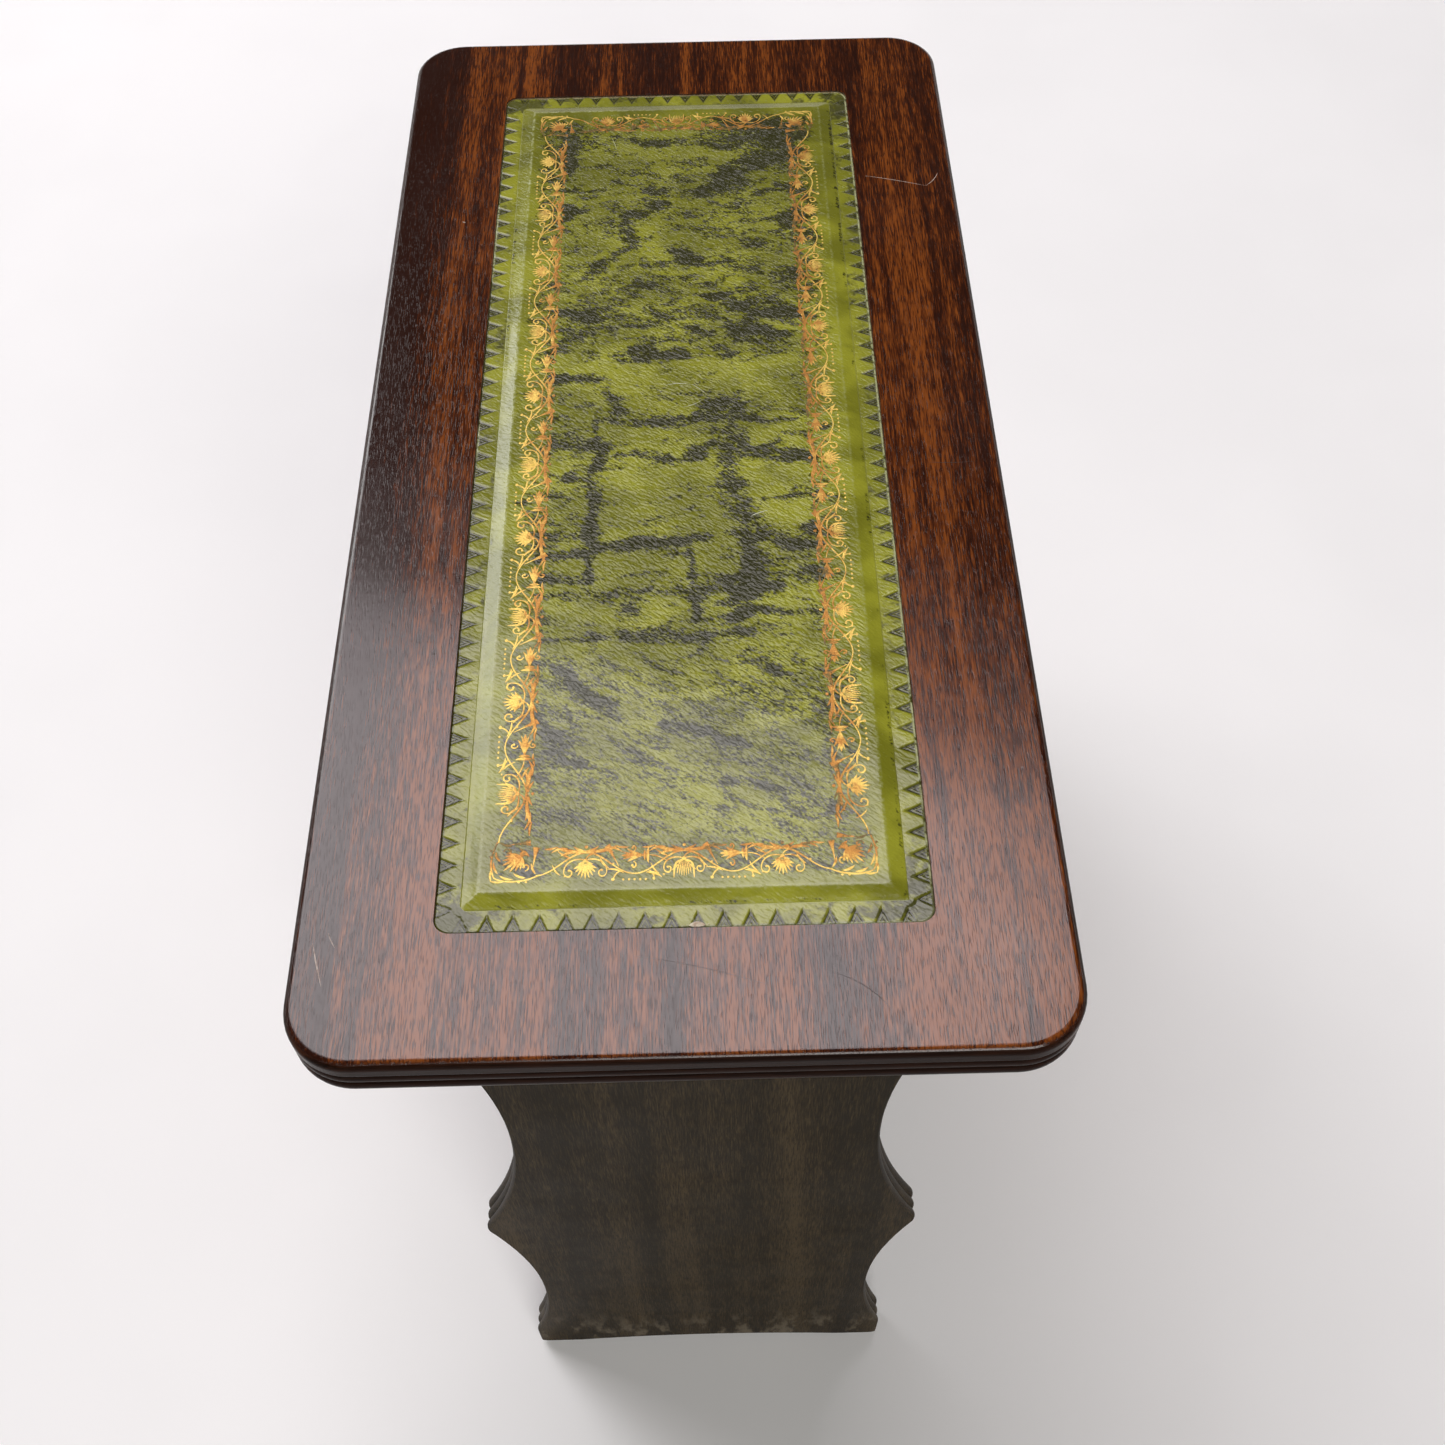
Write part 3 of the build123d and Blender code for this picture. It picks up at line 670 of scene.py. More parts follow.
def make_field(s):
    """The raised field and its bevel, as heights over a grid: a rounded ramp of the distance
    inside a rectangle with small round corners, plus a slight unevenness of the hide."""
    foot_half = np.array([SKIN_HALF_WIDTH - s.border, SKIN_HALF_LENGTH - s.border])
    level = WOOD_FACE - s.border_drop
    top = SKIN_HIGH[2] - BELOW_GOLD
    tuck = 0.7 * MM

    def spread(half):
        """Places along one axis, close together on the bevels and even between them."""
        bevel = np.linspace(-tuck, s.bevel + 1.2 * MM, 15)
        inner = half - bevel[-1]
        flat = np.linspace(-inner, inner, int(2 * inner / FIELD_GRID))
        return np.concatenate([-half + bevel[:-1], flat, half - bevel[-2::-1]])

    x, y = np.meshgrid(spread(foot_half[0]), spread(foot_half[1]))
    corner = 2.6 * MM
    past = np.abs(np.stack([x, y], axis=-1)) - (foot_half - corner)
    outside = np.hypot(*np.moveaxis(np.maximum(past, 0), -1, 0))
    inside = corner - outside - np.minimum(past.max(axis=-1), 0)
    slope = soft_ramp(inside / s.bevel)
    z = level + (top - level) * slope - 0.12 * MM * (1 - step(inside, -tuck, 0.5 * MM))
    uneven = 0.045 * MM * ripple(x, y, 26 * MM, 2) + 0.02 * MM * ripple(x, y, 7 * MM, 8)
    z = z + uneven * step(inside, 0, s.bevel)

    x_mm, y_mm = x / MM, y / MM
    tongues = np.sin(2 * pi * (y_mm + 4 * ripple(x_mm, y_mm, 70, 21)) / TONGUE_SPACING)
    tongues = 0.5 + 0.5 * tongues
    from_band = (SKIN_HALF_WIDTH / MM - ROLL_INNER_SIDE) - np.abs(x_mm)
    reach = np.exp(-np.maximum(from_band, 0) / 11.0) * step(from_band, -8, 0)
    drift_x = x_mm + 3.0 * ripple(x_mm, y_mm, 26, 41) + 0.9 * ripple(x_mm, y_mm, 9, 43)
    drift_y = y_mm + 2.8 * ripple(x_mm, y_mm, 22, 42) + 0.9 * ripple(x_mm, y_mm, 8, 44)
    rungs = np.cos(2 * pi * (y_mm + 5 * ripple(x_mm, y_mm, 60, 51)) / RUNG_SPACING)
    rungs = np.clip(rungs, 0, 1) ** 5
    rungs *= step(ripple(x_mm, y_mm, 34, 52), -0.35, 0.25)
    rungs *= step(y_mm, -135, -110) * step(-y_mm, -80, -45)
    stain = STROKE_STAIN * closeness_to_strokes(drift_x, drift_y, STAINS)
    stain += TONGUE_STAIN * (tongues ** 3) * reach + RUNG_STAIN * rungs
    # Painted shade: a dark line in the crease at the bevel's foot, broken by a ripple.
    foot_crease_shade = 1 - step(np.abs(inside - 0.4 * MM), 0.3 * MM, 1.4 * MM)
    stain += FOLD_SHADE * foot_crease_shade * step(ripple(x_mm, y_mm, 30, 61), -0.7, 0.3)
    margin = 1 - step(inside, s.bevel, s.bevel + 9.0 * MM)
    band = 1 - step(np.abs(inside - s.bevel - 10 * MM), 5 * MM, 11 * MM)
    left = step(-x, 0.0, 0.05)
    values = {
        "stain": stain, "clear": 0.30 * margin - 0.015 * band,
        "grain": 0.28 + 0.32 * step(inside, s.bevel, s.bevel + 2 * MM)
        + 0.40 * step(inside, s.bevel + 2 * MM, s.bevel + 18 * MM),
        # The bevel's crest: partly wear and partly a painted highlight, stronger on the left from the
        # middle towards the far end.
        "rubbed": (1 - step(np.abs(inside - s.bevel), 0.2 * MM, 0.8 * MM))
        * (0.25 + 0.45 * left * step(y, -0.16, 0.0)),
    }
    rows, columns = x.shape
    points = np.stack([x, y, z], axis=-1).reshape(-1, 3)
    faces = quads_of_grid(rows, columns).tolist()
    ring = np.arange(rows * columns).reshape(rows, columns)
    loop = np.concatenate([ring[0, :-1], ring[:-1, -1], ring[-1, :0:-1], ring[:0:-1, 0]])
    back = points[loop] * (1, 1, 0) + (0, 0, SKIN_LOW[2])
    under = np.arange(len(loop)) + len(points)
    faces += np.stack([loop, under, np.roll(under, -1), np.roll(loop, -1)], axis=1).tolist()
    faces.append(under[::-1].tolist())
    values = {label: np.concatenate([v.ravel(), np.zeros(len(loop))])
              for label, v in values.items()}
    leather_piece("leather_field", np.vstack([points, back]), faces, field_leather(s), values)


# ---- Gold roll --------------------------------------------------------------------------
# A stroke is a run of places with a half width at each; strokes are drawn flat, in millimetres,
# along the roll (p) and across it (q, outwards), and then laid on the leather.

STROKE_STEPS = 11
REPEAT = 44.0                 # of the drawing; it is stretched a little to fit each side
WAVE = 4.6                    # the vine swings this far to either side of the roll's middle
FLAT_SHARE = 0.62             # how much of a stroke's width is flat
TOP_SPREAD = 0.15             # how much of their thickness the strokes' tops differ by
GOLDEN_SHARE = 0.618          # spreads the tops evenly over that


def curve(points, swell, ends=0.12):
    """A stroke through three or four control places as a Bezier curve, swelling to a half width
    in its middle and thin at its ends."""
    t = np.linspace(0, 1, STROKE_STEPS)[:, None]
    control = [np.array(p, dtype=float) for p in points]
    while len(control) > 1:
        control = [a + (b - a) * t for a, b in zip(control, control[1:])]
    width = ends + (swell - ends) * np.sin(pi * t[:, 0]) ** 0.8
    return control[0], width


def leaf(start, end, bend, swell):
    """A lens-shaped leaf, bent sideways by a share of its length."""
    start, end = np.array(start, dtype=float), np.array(end, dtype=float)
    run = end - start
    side = np.array([-run[1], run[0]]) * bend
    return curve((start, start + run * 0.5 + side, end), swell, 0.05)


def bell(start, end, mouth):
    """A trumpet that widens steadily to a flat mouth."""
    t = np.linspace(0, 1, STROKE_STEPS)
    start, end = np.array(start, dtype=float), np.array(end, dtype=float)
    places = start + (end - start) * t[:, None]
    return places, 0.22 + (mouth - 0.22) * t ** 2.2


def dot(place, radius):
    """A round bead."""
    t = np.linspace(-1, 1, STROKE_STEPS)
    places = np.array(place, dtype=float) + np.stack([t * radius, 0 * t], axis=1)
    return places, radius * np.sqrt(np.maximum(1 - t * t, 0.0)) + 0.02


def curl(middle, radius, start, sweep, swell):
    """A volute: a spiral that tightens to a third of its radius, with a bead at its eye."""
    t = np.linspace(0, 1, STROKE_STEPS * 2 - 1)
    angle = start + sweep * t
    reach = radius * (1 - 0.68 * t)
    places = np.array(middle) + np.stack([reach * np.cos(angle), reach * np.sin(angle)], axis=1)
    width = swell * (0.75 + 0.5 * np.sin(pi * t))
    half = STROKE_STEPS - 1
    eye = dot(places[-1], swell * 1.7)
    return [(places[:half + 1], width[:half + 1]), (places[half:], width[half:]), eye]


def vine():
    """The wavy stem of one repeat: a cosine whose crests lie outwards, drawn in four runs."""
    strokes = []
    edges = np.linspace(-REPEAT / 2, REPEAT / 2, 5)
    for low, high in zip(edges, edges[1:]):
        p = np.linspace(low, high, STROKE_STEPS)
        swell = 0.42 + 0.10 * np.cos(2 * pi * p / REPEAT)
        strokes.append((np.stack([p, -WAVE * np.cos(2 * pi * p / REPEAT)], axis=1), swell))
    return strokes


def volutes(reach, height, radius, sweep):
    """Two scrolls that spring from a flower's foot and curl in on either side of it."""
    strokes = []
    side = reach + radius
    for hand in (-1, 1):
        stem = ((hand * 1.0, -1.6), (hand * side * 0.62, -2.6),
                (hand * side * 1.02, height - 3.4), (hand * side, height))
        start = 0.0 if hand > 0 else pi
        strokes.append(curve(stem, 0.42, 0.30))
        strokes += curl((hand * reach, height), radius, start, hand * sweep, 0.36)
    return strokes


def flower_foot():
    """Stem, beaded cup and two sepals that every upright flower grows from."""
    return [curve(((4.4, -WAVE * 0.85), (0.8, -4.0), (0.0, -1.4)), 0.40), dot((0, -1.2), 1.05),
            leaf((0, -1.4), (-3.4, 0.2), -0.24, 0.70), leaf((0, -1.4), (3.4, 0.2), 0.24, 0.70)]


def fan_flower():
    """A flower whose pointed petals fan outwards."""
    strokes = flower_foot() + volutes(7.3, 3.6, 2.3, 1.5 * pi)
    for angle in np.linspace(-radians(66), radians(66), 9):
        reach = 7.0 - 1.2 * abs(angle)
        tip = (reach * np.sin(angle), -0.2 + reach * np.cos(angle))
        strokes.append(leaf((1.4 * np.sin(angle), 0.0), tip, 0.07 * np.sign(angle), 0.66))
    return strokes


def closed_flower():
    """A rounder flower: upright ribs between two cheeks that turn out at their tips."""
    strokes = flower_foot() + volutes(7.0, 2.8, 2.0, 1.6 * pi)
    for side in np.linspace(-1, 1, 7):
        strokes.append(leaf((1.5 * side, -0.4), (3.1 * side, 6.4 - 1.3 * abs(side)),
                            -0.10 * side, 0.40))
    for hand in (-1, 1):
        strokes.append(curve(((0, -0.8), (hand * 5.6, -0.6), (hand * 4.0, 4.4),
                              (hand * 4.6, 6.9)), 0.62))
        strokes.append(leaf((hand * 2.6, 1.0), (hand * 5.4, 3.6), hand * 0.10, 0.55))
    return strokes


def crest():
    """What grows round a crest of the vine, at p = 0: beads outside it, sprigs beside them, a
    trumpet and a flag, and a lily that lies along the roll with its collar and curls."""
    strokes = [dot((p, 7.0), 0.52) for p in np.linspace(-5.0, 5.0, 5)]
    strokes += [
        curve(((-5.6, 3.2), (-8.8, 4.0), (-9.6, 7.2)), 0.44), dot((-9.6, 6.9), 0.78),
        curve(((6.0, 3.2), (8.8, 4.4), (8.6, 6.8)), 0.40), dot((8.6, 6.8), 0.66),
        leaf((5.0, 4.2), (12.2, 6.4), -0.20, 0.72), leaf((-4.6, 4.4), (-12.4, 2.6), 0.16, 0.50),
        bell((-7.0, 1.6), (-12.4, -7.4), 1.75), leaf((-12.4, -7.1), (-8.2, -6.4), 0.12, 0.62),
        curve(((14.0, -0.6), (10.0, -3.0), (6.6, -3.0)), 0.36),
        leaf((6.2, -6.2), (6.2, 0.4), 0.14, 0.95), leaf((4.6, -5.2), (4.6, -0.8), 0.12, 0.70),
    ]
    for tip, bend, swell in (((-6.0, -3.0), 0.0, 1.25), ((-3.4, -0.2), 0.16, 0.85),
                             ((-3.4, -5.8), -0.16, 0.85), ((-5.4, -1.4), 0.10, 0.60),
                             ((-5.4, -4.6), -0.10, 0.60)):
        strokes.append(leaf((4.4, -3.0), tip, bend, swell))
    strokes += curl((-0.6, 1.2), 1.55, -pi / 2, 1.5 * pi, 0.34)
    return strokes + curl((-0.6, -6.1), 1.35, pi / 2, -1.5 * pi, 0.32)


def trough_leaves():
    """Long leaves where the vine touches the inner edge, and sprays on its outer side."""
    return [
        leaf((-0.6, -5.0), (-13.4, -7.0), -0.12, 0.95), leaf((1.2, -5.0), (14.4, -7.2), 0.12, 0.95),
        leaf((3.0, -4.6), (12.6, -4.6), -0.16, 0.68), leaf((-3.4, -4.4), (-11.4, -3.2), 0.18, 0.62),
        leaf((6.4, -2.4), (10.6, 2.2), 0.18, 0.62), leaf((-6.6, -2.4), (-12.6, -5.4), -0.10, 0.55),
        leaf((0.0, -5.2), (5.8, -7.2), 0.16, 0.62), leaf((0.0, -5.2), (-5.6, -7.2), -0.16, 0.62),
        leaf((-8.0, -6.4), (-15.6, -4.6), 0.20, 0.60), leaf((8.4, -6.4), (16.6, -4.4), -0.20, 0.60),
        leaf((13.0, -7.3), (19.4, -6.6), 0.14, 0.55), leaf((-12.6, -7.3), (-18.8, -6.4), -0.14, 0.55),
        dot((0.2, -6.9), 0.78), dot((-9.0, 5.2), 0.45), dot((12.4, 0.4), 0.55),
        leaf((-14.8, 0.2), (-11.0, 4.8), 0.20, 0.46),
    ]


def corner_spray():
    """A flame-shaped flower that points at the panel's corner, in the bend of the vine. Its two
    axes run along the two sides that meet there, from the middle of the corner, outwards."""
    strokes = [dot((-4.6, -4.6), 1.25), leaf((-7.0, -3.4), (-3.4, -7.0), 0.0, 0.85)]
    for angle in np.linspace(radians(-14), radians(104), 9):
        middle_share = 1 - abs(angle - pi / 4) / radians(59)
        reach = 5.0 + 3.8 * middle_share
        tip = (-3.9 + reach * np.cos(angle), -3.9 + reach * np.sin(angle))
        strokes.append(leaf((-3.9, -3.9), tip, 0.05, 0.72))
    for swap in (False, True):
        parts = [curve(((-10.5, WAVE), (-5.0, 7.4), (1.8, 7.6), (5.4, 5.4)), 0.46, 0.3),
                 leaf((-6.0, 5.4), (-1.4, 3.4), 0.20, 0.66),
                 leaf((-1.4, 6.0), (3.6, 4.2), 0.20, 0.60),
                 leaf((-9.6, 4.0), (-7.8, -0.6), 0.16, 0.60),
                 leaf((2.0, 6.8), (6.9, 6.4), 0.16, 0.50),
                 bell((-8.4, 1.6), (-9.4, -7.2), 1.5), dot((-3.6, 7.2), 0.5), dot((-6.2, 7.2), 0.5)]
        parts += curl((-5.6, 0.9), 1.6, pi / 2, 1.5 * pi, 0.34)
        strokes += [(places[:, ::-1] if swap else places, width) for places, width in parts]
    return strokes


def band_strokes(repeats):
    """All strokes along one side: a flower in each repeat, and a crest between two repeats."""
    strokes = []
    for index in range(repeats):
        middle = (index - (repeats - 1) / 2) * REPEAT
        unit = vine() + trough_leaves()
        unit += fan_flower() if index % 2 == 0 else closed_flower()
        if index < repeats - 1:
            unit += moved(crest(), REPEAT / 2)
        strokes += moved(unit, middle)
    return strokes


def moved(strokes, distance):
    """The same strokes farther along the roll."""
    return [(places + (distance, 0), width) for places, width in strokes]


def strokes_piece(name, strokes, lay, low, high, material, wear=None):
    """One piece from strokes: each is a low ridge, flat on top with sloping sides. Each top is
    at its own height, so that crossing strokes never lie in one plane. lay turns places in
    millimetres into X and Y; wear, if given, makes each point's value from its place."""
    places = np.array([stroke[0] for stroke in strokes])
    widths = np.array([stroke[1] for stroke in strokes])[:, :, None]
    run = np.gradient(places, axis=1)
    run /= np.maximum(np.linalg.norm(run, axis=2, keepdims=True), 1e-9)
    side = np.stack([-run[:, :, 1], run[:, :, 0]], axis=-1)
    offsets = (-1.0, -FLAT_SHARE, FLAT_SHARE, 1.0)
    flat = np.stack([places + side * widths * offset for offset in offsets], axis=2)
    x, y = lay(flat[..., 0], flat[..., 1])
    count, steps = places.shape[:2]
    tops = high - TOP_SPREAD * (high - low) * ((np.arange(count) * GOLDEN_SHARE) % 1.0)
    z = np.full(x.shape, low)
    z[:, :, 1:3] = tops[:, None, None]
    points = np.stack([x, y, z], axis=-1).reshape(-1, 3)
    one = quads_of_grid(steps, 4, wrap_columns=True)
    faces = (one[None] + (np.arange(count) * steps * 4)[:, None, None]).reshape(-1, 4)
    ends = np.arange(count)[:, None] * steps * 4 + np.array([0, 1, 2, 3])
    caps = np.concatenate([ends[:, ::-1], ends + (steps - 1) * 4])
    faces = np.concatenate([faces, caps])
    outward = faces if is_outward(points, faces) else faces[:, ::-1]
    values = {"wear": wear(flat[..., 0], flat[..., 1])} if wear else {}
    piece = mesh_piece(name, points, outward.tolist(), material, values, smooth=False)
    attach(piece, ROOT_BODY)


def is_outward(points, faces):
    """Whether the faces of closed shells point outwards: their signed volume is positive."""
    a, b, c, d = (points[faces[:, index]] for index in range(4))
    volume = np.einsum("ij,ij->i", a, np.cross(b, c)) + np.einsum("ij,ij->i", a, np.cross(c, d))
    return volume.sum() > 0


def make_gold(s):
    """The roll on the four sides and its four corners."""
    material = gold_finish(s)
    middle = s.inset + s.width / 2
    low, high = SKIN_HIGH[2] - 0.16 * MM, SKIN_HIGH[2]
    half = (SKIN_HALF_WIDTH - middle, SKIN_HALF_LENGTH - middle)
    corner_room = s.width / 2 + 2.0 * MM

    def wear_of(bias):
        """Wear that grows towards the roll's inner side, in patches."""
        return lambda p, q: (np.clip(0.45 - 0.055 * q + bias, 0, 1)
                             + 0.18 * ripple(p, q, 30.0, 31))

    for name, repeats, along, hand, bias in (
            ("near", s.repeats_short, 0, -1, 0.0), ("far", s.repeats_short, 0, 1, 0.30),
            ("left", s.repeats_long, 1, -1, 0.0), ("right", s.repeats_long, 1, 1, 0.12)):
        fit = 2 * (half[along] - corner_room) / (repeats * REPEAT * MM)

        def lay(p, q):
            """Along the side, turned so that the roll runs on round the panel, and outwards."""
            run = (hand if along else -hand) * p * MM * fit
            out = hand * (half[1 - along] + q * MM)
            return (out, run) if along else (run, out)

        strokes_piece(f"gold_roll_{name}", band_strokes(repeats), lay, low, high, material,
                      wear_of(bias))
    for name, x_hand, y_hand in (("near_left", -1, -1), ("near_right", 1, -1),
                                 ("far_left", -1, 1), ("far_right", 1, 1)):
        def lay(p, q):
            """Towards the corner along both axes."""
            return x_hand * (half[0] + p * MM), y_hand * (half[1] + q * MM)

        strokes_piece(f"gold_corner_{name}", corner_spray(), lay, low, high, material,
                      wear_of(0.15))


# ---- Wear -------------------------------------------------------------------------------

def make_wear():
    """Scratches on the lacquer and scuffs on the leather, as hairlines in millimetres."""
    hide = SKIN_HIGH[2] - 0.09 * MM
    border = WOOD_FACE - 0.6 * MM
    groups = (
        ("wood_scratches", "veneered_mahogany", WOOD_FACE,
         ("bruised_lacquer", (0.30, 0.22, 0.18), (0.50, 0.42, 0.36), 0.5, 2.0), (
             curve(((95, 175), (108, 172), (125, 166)), 0.22, 0.05),
             curve(((125, 166), (130, 170), (132, 176)), 0.26, 0.05),
             curve(((-132, -250), (-130, -258), (-127, -267)), 0.35, 0.05),
             curve(((-106.5, 146), (-106, 145.5), (-105, 145)), 0.5, 0.1),
             curve(((-127, -246), (-126, -249), (-124, -252)), 0.22, 0.05))),
        ("deep_scratches", "veneered_mahogany", WOOD_FACE,
         ("deep_scratch", (0.012, 0.006, 0.004), (0.03, 0.012, 0.006), 0.4, 2.0), (
             curve(((51, -266), (64, -270), (71, -281)), 0.22, 0.05),
             curve(((108, -24), (118, -25), (129, -24)), 0.20, 0.05),
             curve(((-18, -258), (2, -261), (28, -270)), 0.14, 0.04))),
        ("leather_scuffs", "green_leather", hide,
         ("scuffed_hide", (0.42, 0.44, 0.27), (0.58, 0.60, 0.42), 0.6, 1.5), (
             curve(((-6, 26), (0, 28), (5, 26)), 0.22, 0.04),
             curve(((6, 26), (9, 24), (11, 21)), 0.16, 0.04),
             curve(((-34, 210), (-32, 205), (-31, 199)), 0.14, 0.03),
             curve(((-40, 94), (-37, 90), (-36, 85)), 0.12, 0.03),
             curve(((2, 12), (7, 13), (10, 16)), 0.16, 0.03),
             curve(((30, -54), (33, -52), (37, -51)), 0.30, 0.05))),
        ("border_chip", "green_leather", border,
         ("bare_hide", (0.66, 0.60, 0.46), (0.40, 0.28, 0.19), 0.7, 1.3), (
             curve(((1.5, -246.3), (4.4, -245.4), (7.2, -246.2)), 1.1, 0.2),
             dot((8.6, -246.0), 0.6))),
    )
    for name, slot, level, finish, strokes in groups:
        strokes_piece(name, strokes, lambda p, q: (p * MM, q * MM), level - 0.05 * MM,
                      level + 0.015 * MM, plain_finish(*finish))


# ---- Operators --------------------------------------------------------------------------

class TABLE_OT_top(bpy.types.Operator):
    """Finish the veneered top and its moulded edging"""
    bl_idname = "side_table.top"
    bl_label = "Top and Edging"

    def execute(self, context):
        s = context.scene.table_wood
        # rim=0.9 paints shade on the rounding under the top's face.
        paint_nodes(["top_veneer"], wood_finish(
            "lacquered_top", "Y", s.top_dark, s.top_red, s.top_amber, s.gloss, ior=1.5,
            near_lift=0.060, left_shade=0.13, rim=0.9))
        for along, names in (("X", ["lipping_near", "lipping_far"]),
                             ("Y", ["lipping_left", "lipping_right"])):
            paint_nodes(names, edging_finish(f"edging_along_{along}", along, s.edge_dark,
                                             s.edge_worn_and_highlit, 0.24))
        return {"FINISHED"}


class TABLE_OT_ends(bpy.types.Operator):
    """Finish the two end panels"""
    bl_idname = "side_table.ends"
    bl_label = "End Panels"

    def execute(self, context):
        s = context.scene.table_wood
        bright = [part * 1.7 for part in s.panel_body]
        paint_nodes(["end_panel_near", "end_panel_far"], wood_finish(
            "lacquered_ends", "Z", s.panel_dark, s.panel_body, bright, 0.44, coat=0.0, ior=1.3,
            stripe_mm=30.0, contrast=0.8, shine=0.08, foot_wear=0.9))
        return {"FINISHED"}


class TABLE_OT_trough(bpy.types.Operator):
    """Finish the book trough and its keel"""
    bl_idname = "side_table.trough"
    bl_label = "Book Trough"

    def execute(self, context):
        paint_nodes(["trough_board_left", "trough_board_right", "trough_keel"], wood_finish(
            "lacquered_trough", "Y", (0.020, 0.007, 0.003), (0.075, 0.026, 0.010),
            (0.170, 0.062, 0.022), 0.36, coat=0.05, stripe_mm=24.0))
        return {"FINISHED"}


class TABLE_OT_hidden(bpy.types.Operator):
    """Finish the core, the cleats, the boards under the leather and the fixings"""
    bl_idname = "side_table.hidden"
    bl_label = "Hidden Parts"

    def execute(self, context):
        for names, label, along, dark, light in (
                (["underside_veneer"], "backing_veneer", "Y",
                 (0.13, 0.055, 0.025), (0.30, 0.15, 0.08)),
                (["top_core", "insert_board", "field_board"], "core_board", "Y",
                 (0.30, 0.20, 0.11), (0.55, 0.42, 0.27)),
                (["cleat_near", "cleat_far"], "cleats", "X",
                 (0.20, 0.11, 0.06), (0.40, 0.25, 0.14)),
                (["top_dowels", "trough_dowels"], "dowels", "Z",
                 (0.34, 0.22, 0.12), (0.55, 0.40, 0.24))):
            paint_nodes(names, raw_wood_finish(label, along, dark, light))
        paint_nodes(["top_screws", "panel_screws"], metal_finish("screws", (0.45, 0.43, 0.40), 0.3))
        paint_nodes(["foot_glides"], metal_finish("glides", (0.60, 0.60, 0.58), 0.25))
        return {"FINISHED"}


class TABLE_OT_leather(bpy.types.Operator):
    """Make the leather panel: its toothed border and its raised field"""
    bl_idname = "side_table.leather"
    bl_label = "Leather Panel"

    def execute(self, context):
        make_border(context.scene.table_leather)
        make_field(context.scene.table_leather)
        return {"FINISHED"}


class TABLE_OT_gold(bpy.types.Operator):
    """Lay the gold roll round the leather's field"""
    bl_idname = "side_table.gold"
    bl_label = "Gold Roll"

    def execute(self, context):
        make_gold(context.scene.table_gold)
        return {"FINISHED"}


class TABLE_OT_wear(bpy.types.Operator):
    """Add scratches, scuffs and a chip"""
    bl_idname = "side_table.wear"
    bl_label = "Wear"

    def execute(self, context):
        make_wear()
        return {"FINISHED"}


class TABLE_OT_stage(bpy.types.Operator):
    """Set up the floor, the soft lights and the camera"""
    bl_idname = "side_table.stage"
    bl_label = "Stage"

    def execute(self, context):
        s = context.scene.table_stage
        make_floor()
        soft_light("overhead", (-1.49, 1.94, 4.5), (0, 0, -22), (5.2, 2.5), s.overhead,
                   (0.99, 0.94, 0.97))
        soft_light("window", (-3.9, 4.1, 3.6), (-62, 0, 43), (2.3, 2.2), s.window,
                   (0.98, 0.99, 1.0))
        soft_light("front", (1.2, -4.4, 3.8), (52, 0, 15), (3.4, 3.0), s.front,
                   (1.0, 0.98, 0.95))
        context.scene.world = backdrop(s)
        context.scene.view_settings.view_transform = "Standard"
        lens = bpy.data.cameras.new("camera")
        lens.lens = s.lens
        lens.sensor_width = 36.0
        camera = in_scene("camera", lens)
        camera.location = s.camera_place
        camera.rotation_euler = s.camera_turn
        context.scene.camera = camera
        return {"FINISHED"}


def make_floor():
    """A wide pale floor at the glides' feet."""
    half = 12.0
    points = np.array([(-half, -half, 0), (half, -half, 0), (half, half, 0), (-half, half, 0)])
    pale = plain_finish("pale_floor", (0.93, 0.93, 0.93), (0.96, 0.96, 0.96), 0.9, 400.0)
    mesh_piece("floor", points, [(0, 1, 2, 3)], pale, smooth=False)


def backdrop(s):
    """Light from all round: pale and bright low down, and dim above."""
    world = bpy.data.worlds.new("even_light")
    world.use_nodes = True
    nodes, links = world.node_tree.nodes, world.node_tree.links
    heights = nodes.new("ShaderNodeSeparateXYZ")
    links.new(nodes.new("ShaderNodeTexCoord").outputs["Generated"], heights.inputs[0])
    band = nodes.new("ShaderNodeMapRange")
    band.interpolation_type = "SMOOTHSTEP"
    for key, value in (("From Min", 0.10), ("From Max", 0.34), ("To Min", s.horizon),
                       ("To Max", s.sky)):
        band.inputs[key].default_value = value
    links.new(heights.outputs["Z"], band.inputs["Value"])
    background = nodes["Background"]
    background.inputs["Color"].default_value = (1.0, 0.96, 0.91, 1.0)
    links.new(band.outputs["Result"], background.inputs["Strength"])
    return world


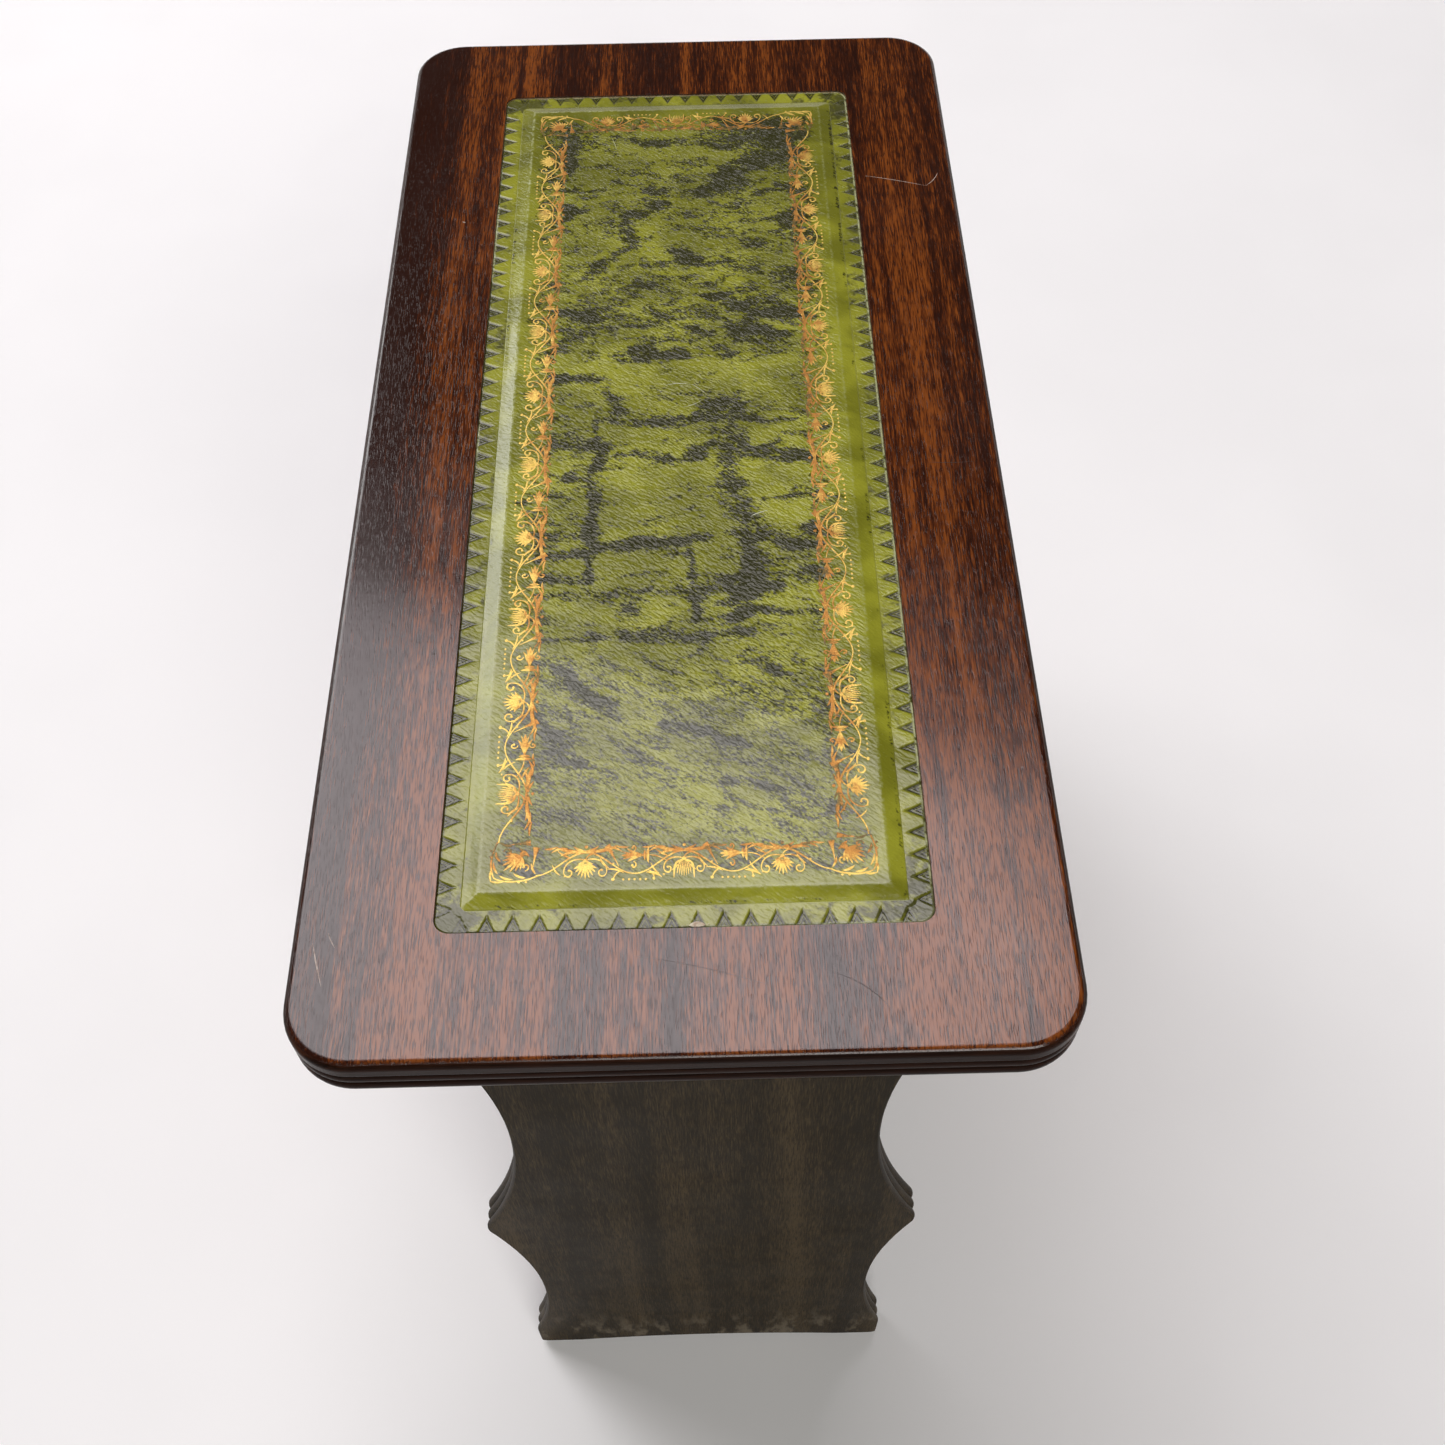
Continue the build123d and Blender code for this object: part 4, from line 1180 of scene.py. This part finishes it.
def soft_light(name, place, turn, size, power, tint):
    """A rectangular soft light, turned by degrees about X, Y and Z."""
    lamp = bpy.data.lights.new(name, "AREA")
    lamp.shape = "RECTANGLE"
    lamp.size, lamp.size_y = size
    lamp.energy = power
    lamp.color = tint
    light = in_scene(name, lamp)
    light.location = place
    light.rotation_euler = [radians(angle) for angle in turn]


class TABLE_PT_panel(bpy.types.Panel):
    """Lists the steps that make the table's looks"""
    bl_idname = "TABLE_PT_panel"
    bl_label = "Side Table"
    bl_space_type = "VIEW_3D"
    bl_region_type = "UI"
    bl_category = "Side Table"

    def draw(self, context):
        for operator in OPERATORS:
            self.layout.operator(operator.bl_idname)
        for label, group in SETTINGS:
            settings = getattr(context.scene, label)
            box = self.layout.box()
            box.label(text=group.__doc__)
            for name in group.__annotations__:
                box.prop(settings, name)


OPERATORS = (TABLE_OT_top, TABLE_OT_ends, TABLE_OT_trough, TABLE_OT_hidden, TABLE_OT_leather,
             TABLE_OT_gold, TABLE_OT_wear, TABLE_OT_stage)
SETTINGS = (("table_wood", WoodSettings), ("table_leather", LeatherSettings),
            ("table_gold", GoldSettings), ("table_stage", StageSettings))


def register():
    """Register the settings, the operators and the panel."""
    for label, group in SETTINGS:
        bpy.utils.register_class(group)
        setattr(bpy.types.Scene, label, PointerProperty(type=group))
    for operator in OPERATORS:
        bpy.utils.register_class(operator)
    bpy.utils.register_class(TABLE_PT_panel)


def unregister():
    """Undo register."""
    bpy.utils.unregister_class(TABLE_PT_panel)
    for operator in reversed(OPERATORS):
        bpy.utils.unregister_class(operator)
    for label, group in reversed(SETTINGS):
        delattr(bpy.types.Scene, label)
        bpy.utils.unregister_class(group)


def main():
    register()
    bpy.ops.side_table.top()
    bpy.ops.side_table.ends()
    bpy.ops.side_table.trough()
    bpy.ops.side_table.hidden()
    bpy.ops.side_table.leather()
    bpy.ops.side_table.gold()
    bpy.ops.side_table.wear()
    bpy.ops.side_table.stage()
    bpy.context.view_layer.update()


if __name__ == "__main__":
    main()
